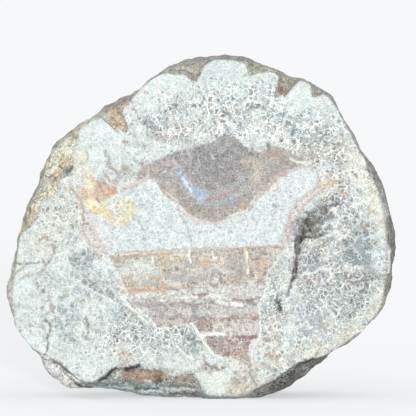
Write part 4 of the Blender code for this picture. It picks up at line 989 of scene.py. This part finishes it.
def grain(tree, place, size, detail=2.0, roughness=0.55):
    """Soft noise from 0 to 1 whose lumps are about this many millimetres across."""
    inputs = {"Vector": place, "Scale": 1 / size, "Detail": detail, "Roughness": roughness}
    return put(tree, "ShaderNodeTexNoise", inputs).outputs[0]


def nudged(tree, place, drift, reach):
    """The place pushed by a noise colour, this far."""
    push = scaled(tree, vector_calc(tree, "SUBTRACT", drift, (0.5, 0.5, 0.5)), reach)
    return vector_calc(tree, "ADD", place, push)


def stops(tree, value, rows):
    """A colour ramp through (millimetres, pigment) rows."""
    rows = sorted(rows)
    low, high = rows[0][0], rows[-1][0]
    ramp = put(tree, "ShaderNodeValToRGB", {0: span(tree, value, low, high, kind="LINEAR")})
    ramp.color_ramp.elements.remove(ramp.color_ramp.elements[0])
    for index, (at, name) in enumerate(rows):
        share = (at - low) / (high - low)
        element = ramp.color_ramp.elements[0] if index == 0 else ramp.color_ramp.elements.new(share)
        element.position = share
        element.color = pigment(name)
    return ramp.outputs[0]


def mineral_net():
    """Shader group: dark specks between pale threads, which follow cell walls here and curl freely there."""
    group = bpy.data.node_groups.new("mineral_net", "ShaderNodeTree")
    group.interface.new_socket("Place", in_out="INPUT", socket_type="NodeSocketVector")
    group.interface.new_socket("Cell", in_out="INPUT", socket_type="NodeSocketFloat")
    for label in ("Threads", "Shades", "Specks", "Cool", "Warm"):
        group.interface.new_socket(label, in_out="OUTPUT", socket_type="NodeSocketFloat")
    given = put(group, "NodeGroupInput").outputs
    place = scaled(group, given["Place"], calc(group, "DIVIDE", 1.0, given["Cell"]))
    waves = put(group, "ShaderNodeTexNoise", {"Vector": place, "Scale": NET_DRIFT_SCALE, "Detail": 2.0})
    bent = nudged(group, place, waves.outputs["Color"], NET_BEND)
    near_wall = put(group, "ShaderNodeTexVoronoi", {"Vector": bent, "Scale": 1.0}, feature="DISTANCE_TO_EDGE")
    walls = near_wall.outputs[0]
    cells = put(group, "ShaderNodeTexVoronoi", {"Vector": bent, "Scale": 1.0})
    lot = put(group, "ShaderNodeSeparateXYZ", {0: cells.outputs["Color"]}).outputs
    swirl_place = vector_calc(group, "ADD", place, SWIRL_SHIFT)
    swirl = calc(group, "SUBTRACT", grain(group, swirl_place, SWIRL_SIZE, 1.5), 0.5)
    patch_place = vector_calc(group, "ADD", place, PATCH_SHIFT)
    patchy = span(group, grain(group, patch_place, PATCH_SIZE, 1.0), *PATCH_EDGE)
    wall_threads = calc(group, "MULTIPLY", span(group, walls, *WALL_THREAD), patchy)
    curl = calc(group, "PINGPONG", calc(group, "ADD", swirl, 0.5), CURL)
    free = calc(group, "SUBTRACT", 1.0, patchy)
    swirl_threads = calc(group, "MULTIPLY", span(group, curl, *CURL_THREAD), free)
    threads = calc(group, "MAXIMUM", wall_threads, swirl_threads)
    beside = calc(group, "MULTIPLY", span(group, swirl, *SHADE_START), span(group, swirl, *SHADE_END))
    dots = span(group, cells.outputs["Distance"], *SPECK_EDGE)
    specks = calc(group, "MULTIPLY", dots, span(group, lot["X"], 0.35, 0.6))
    put(group, "NodeGroupOutput", {
        "Threads": threads,
        "Shades": beside,
        "Specks": calc(group, "MULTIPLY", specks, calc(group, "SUBTRACT", 1.0, threads)),
        "Cool": span(group, lot["Y"], 0.5, 0.8),
        "Warm": span(group, lot["Z"], 0.65, 0.9),
    })
    return group


def attribute(tree, name, output="Fac"):
    """What is stored at the vertices under this name."""
    return put(tree, "ShaderNodeAttribute", attribute_name=name).outputs[output]


def mottled(tree, colour, place, size, strength):
    """The colour with grain of every size up to this one, darker and lighter."""
    lumps = grain(tree, place, size, 3.0, 0.95)
    colour = dimmed(tree, calc(tree, "MULTIPLY", span(tree, lumps, 0.50, 0.34), strength), colour, DARK_GRAIN)
    light = calc(tree, "MULTIPLY", span(tree, lumps, 0.50, 0.66, 0.0, 0.85), strength)
    return colour_mix(tree, light, colour, WHITE, "SOFT_LIGHT")


def netted(tree, colour, place, cell, dark, bright, group, speck=SPECK):
    """The colour with a mineral net of this cell size drawn into it, darkened and brightened so strongly."""
    net = put(tree, "ShaderNodeGroup", {}, node_tree=group)
    tree.links.new(place, net.inputs["Place"])
    net.inputs["Cell"].default_value = cell
    parts = net.outputs
    colour = dimmed(tree, calc(tree, "MULTIPLY", parts["Cool"], dark), colour, COOL_CELL)
    colour = dimmed(tree, calc(tree, "MULTIPLY", parts["Warm"], dark), colour, WARM_CELL)
    colour = dimmed(tree, calc(tree, "MULTIPLY", parts["Shades"], dark), colour, NET_SHADE)
    colour = dimmed(tree, calc(tree, "MULTIPLY", parts["Specks"], dark), colour, speck)
    return colour_mix(tree, calc(tree, "MULTIPLY", parts["Threads"], bright), colour, pigment("white"))


def face_colour(tree, place):
    """Colour of the polished face, with each zone's edge line, and how strong the mineral net is there."""
    flat = vector_calc(tree, "MULTIPLY", place, ON_FACE)
    waves = put(tree, "ShaderNodeTexNoise", {"Vector": flat, "Scale": SWAY_SCALE, "Detail": 3.0})
    swayed = nudged(tree, flat, waves.outputs["Color"], SWAY_REACH)
    fray = calc(tree, "MULTIPLY", calc(tree, "SUBTRACT", grain(tree, flat, FRAY_SIZE, 3.0), 0.5), FRAY_REACH)
    pale = calc(tree, "ADD", attribute(tree, "pale_band"), fray)

    icy = span(tree, grain(tree, swayed, CLOUD_SIZE, 4.0), 0.35, 0.65)
    cloud = colour_mix(tree, icy, pigment("ice_blue"), pigment("ice"))
    heart = stops(tree, pale, RINGS)
    fibre = grain(tree, vector_calc(tree, "MULTIPLY", swayed, FIBRE_SQUEEZE), FIBRE_SIZE, 3.0)
    heart = colour_mix(tree, span(tree, fibre, 0.45, 0.75, 0.0, 0.5), heart, pigment("warm_grey"))

    across = put(tree, "ShaderNodeSeparateXYZ", {0: swayed}).outputs
    wave = grain(tree, vector_calc(tree, "MULTIPLY", flat, WAVE_SQUEEZE), WAVE_SIZE, 3.0)
    lift = calc(tree, "MULTIPLY", calc(tree, "SUBTRACT", wave, 0.5), BAND_WAVES)
    level = calc(tree, "SUBTRACT", across["Z"], calc(tree, "MULTIPLY", across["X"], BAND_SLOPE))
    bands = stops(tree, calc(tree, "ADD", level, lift), BANDS)
    streaks = grain(tree, vector_calc(tree, "MULTIPLY", flat, STREAK_SQUEEZE), STREAK_SIZE, 3.0)
    bands = colour_mix(tree, span(tree, streaks, 0.52, 0.62, 0.0, 0.85), bands, pigment("rose_white"))
    bands = dimmed(tree, span(tree, streaks, 0.48, 0.34, 0.0, 0.7), bands, STREAK_SHADE)
    uprights = grain(tree, vector_calc(tree, "MULTIPLY", swayed, UPRIGHT_SQUEEZE), UPRIGHT_SIZE, 3.0, 0.7)
    bands = colour_mix(tree, span(tree, uprights, 0.52, 0.60, 0.0, 0.8), bands, pigment("cream_white"))
    bands = dimmed(tree, span(tree, uprights, 0.47, 0.38, 0.0, 0.8), bands, UPRIGHT_SHADE)
    block_place = vector_calc(tree, "MULTIPLY", swayed, BLOCK_SQUEEZE)
    blocks = put(tree, "ShaderNodeTexVoronoi", {"Vector": block_place, "Scale": 1.0}, distance="CHEBYCHEV")
    lot = put(tree, "ShaderNodeSeparateXYZ", {0: blocks.outputs["Color"]}).outputs
    bands = colour_mix(tree, span(tree, lot["X"], 0.6, 0.9, 0.0, 0.45), bands, pigment("cream_white"))
    bands = dimmed(tree, span(tree, lot["Y"], 0.6, 0.9, 0.0, 0.6), bands, BLOCK_SHADE)

    colour = attribute(tree, "ground", "Color")
    heart_in = span(tree, calc(tree, "ADD", attribute(tree, "heartwood"), fray), 0.8, -0.8)
    colour = colour_mix(tree, heart_in, colour, heart)
    pale_in = span(tree, pale, 0.3, -0.3)
    colour = colour_mix(tree, pale_in, colour, cloud)
    banded = calc(tree, "ADD", attribute(tree, "banded_wood"), calc(tree, "MULTIPLY", fray, 0.6))
    banded_in = span(tree, banded, 0.25, -0.25)
    colour = colour_mix(tree, banded_in, colour, bands)
    stain = put(tree, "ShaderNodeAttribute", attribute_name="stain")
    worn = span(tree, grain(tree, flat, STAIN_SIZE, 3.0), 0.3, 0.6, 0.4, 1.0)
    cover = calc(tree, "MULTIPLY", stain.outputs["Alpha"], worn)
    colour = colour_mix(tree, cover, colour, stain.outputs["Color"])

    cool = grain(tree, vector_calc(tree, "ADD", flat, COOL_SHIFT), COOL_SIZE, 3.0, 0.6)
    warm = grain(tree, vector_calc(tree, "ADD", flat, WARM_SHIFT), WARM_SIZE, 3.0, 0.65)
    colour = dimmed(tree, span(tree, cool, 0.5, 0.75), colour, COOL_CLOUD)
    colour = dimmed(tree, span(tree, warm, 0.52, 0.78), colour, WARM_CLOUD)

    speckle, veining = attribute(tree, "speckle"), attribute(tree, "veining")
    threads = calc(tree, "MULTIPLY", speckle, SPECKLE_THREADS)
    zone = put(tree, "ShaderNodeCombineXYZ", {0: speckle, 1: threads, 2: veining}).outputs[0]
    zone = colour_mix(tree, heart_in, zone, (*HEART_NET, 1))
    zone = colour_mix(tree, pale_in, zone, (*PALE_NET, 1))
    zone = colour_mix(tree, banded_in, zone, (*BANDED_NET, 1))

    crust = calc(tree, "MULTIPLY", span(tree, banded, 1.1, 0.5), span(tree, banded, 0.0, 0.3))
    colour = colour_mix(tree, crust, colour, pigment("cream_white"))
    line = calc(tree, "ABSOLUTE", calc(tree, "SUBTRACT", pale, 0.5))
    colour = colour_mix(tree, span(tree, line, 0.8, 0.2, 0.0, 0.55), colour, pigment("rosy_brown"))
    blue = calc(tree, "ADD", attribute(tree, "blue_streak"), calc(tree, "MULTIPLY", fray, 0.7))
    colour = colour_mix(tree, span(tree, blue, 0.8, -0.6, 0.0, 0.95), colour, pigment("sky"))
    return colour, zone


def rind_colour(tree, place):
    """The weathered rind and every broken edge: patches of crust, mottled, with dark seams across them."""
    colour = attribute(tree, "rind", "Color")
    mottle = grain(tree, place, MOTTLE_SIZE, 4.0, 0.65)
    colour = dimmed(tree, span(tree, mottle, 0.48, 0.3, 0.0, 1.0), colour, RIND_HOLLOW)
    colour = colour_mix(tree, span(tree, mottle, 0.55, 0.7, 0.0, 0.8), colour, WHITE, "SOFT_LIGHT")
    bend = put(tree, "ShaderNodeTexNoise", {"Vector": place, "Scale": SEAM_BEND_SCALE, "Detail": 3.0})
    push = scaled(tree, bend.outputs["Color"], SEAM_BEND)
    bent = vector_calc(tree, "ADD", vector_calc(tree, "MULTIPLY", place, SEAM_SQUEEZE), push)
    seam_cells = {"Vector": bent, "Scale": SEAM_SCALE}
    near_seam = put(tree, "ShaderNodeTexVoronoi", seam_cells, feature="DISTANCE_TO_EDGE")
    return dimmed(tree, span(tree, near_seam.outputs[0], 0.07, 0.015, 0.0, 0.6), colour, RIND_SEAM)


def drawn_over(tree, colour, place, marks):
    """The colour with these marks on it, a little worn."""
    drawn = put(tree, "ShaderNodeAttribute", attribute_name=marks).outputs
    wear = grain(tree, vector_calc(tree, "ADD", place, WEAR_SHIFT), WEAR_SIZE, 2.0)
    worn = span(tree, wear, 0.3, 0.5, 0.75, 1.0)
    return colour_mix(tree, calc(tree, "MULTIPLY", drawn["Alpha"], worn), colour, drawn["Color"])


def finish_stone(material):
    """Joins face, rind, marks, nets and grain in the stone's one material."""
    tree = material.node_tree
    local = put(tree, "ShaderNodeTexCoord").outputs["Object"]
    place = scaled(tree, local, MM)
    group = mineral_net()
    face, zone = face_colour(tree, place)
    rind = rind_colour(tree, place)
    depth = put(tree, "ShaderNodeSeparateXYZ", {0: place}).outputs["Y"]
    edge_noise = calc(tree, "SUBTRACT", grain(tree, place, EDGE_SIZE, 2.0), 0.5)
    edge = calc(tree, "MULTIPLY", edge_noise, EDGE_REACH)
    off_face = calc(tree, "ADD", calc(tree, "SUBTRACT", depth, FRONT * MM), edge)
    off_back = calc(tree, "ADD", calc(tree, "SUBTRACT", BACK * MM, depth), edge)
    rough_share = calc(tree, "MULTIPLY", span(tree, off_face, *FACE_EDGE), span(tree, off_back, *BACK_EDGE))
    zone = colour_mix(tree, rough_share, zone, (*RIND_NET, 1))
    dark, bright, veining = put(tree, "ShaderNodeSeparateXYZ", {0: zone}).outputs
    strength = span(tree, dark, 0.0, 1.0, 0.5, 1.0)
    colour = drawn_over(tree, colour_mix(tree, rough_share, face, rind), place, "broad_marks")
    pale_veins = calc(tree, "MULTIPLY", veining, VEIN_BRIGHT)
    colour = netted(tree, colour, place, VEIN_CELL, veining, pale_veins, group, VEIN_SPECK)
    aside = vector_calc(tree, "ADD", place, FINE_SHIFT)
    fine_dark = calc(tree, "MULTIPLY", strength, FINE_DARK)
    fine_bright = calc(tree, "MULTIPLY", strength, FINE_BRIGHT)
    colour = netted(tree, colour, aside, FINE_CELL, fine_dark, fine_bright, group, FINE_SPECK)
    pale_threads = calc(tree, "MULTIPLY", bright, THREAD_BRIGHT)
    colour = netted(tree, colour, place, THREAD_CELL, dark, pale_threads, group)
    colour = drawn_over(tree, colour, place, "fine_marks")
    colour = mottled(tree, colour, place, GRAIN_SIZE, strength)
    height = calc(tree, "MULTIPLY", grain(tree, place, BUMP_SIZE, 4.0, 0.65),
                  span(tree, rough_share, 0.0, 1.0, FACE_BUMP, 1.0))
    bump = put(tree, "ShaderNodeBump", {"Strength": 1.0, "Distance": BUMP_DEPTH, "Height": height})
    skin_look = put(tree, "ShaderNodeBsdfPrincipled", {
        "Base Color": colour,
        "Roughness": span(tree, rough_share, 0.0, 1.0, POLISHED, WEATHERED, kind="LINEAR"),
        "Normal": bump.outputs[0],
    })
    put(tree, "ShaderNodeOutputMaterial", {"Surface": skin_look.outputs[0]})


finish_stone(stone_look)

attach(polished_slice, "root")
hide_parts(STONE)
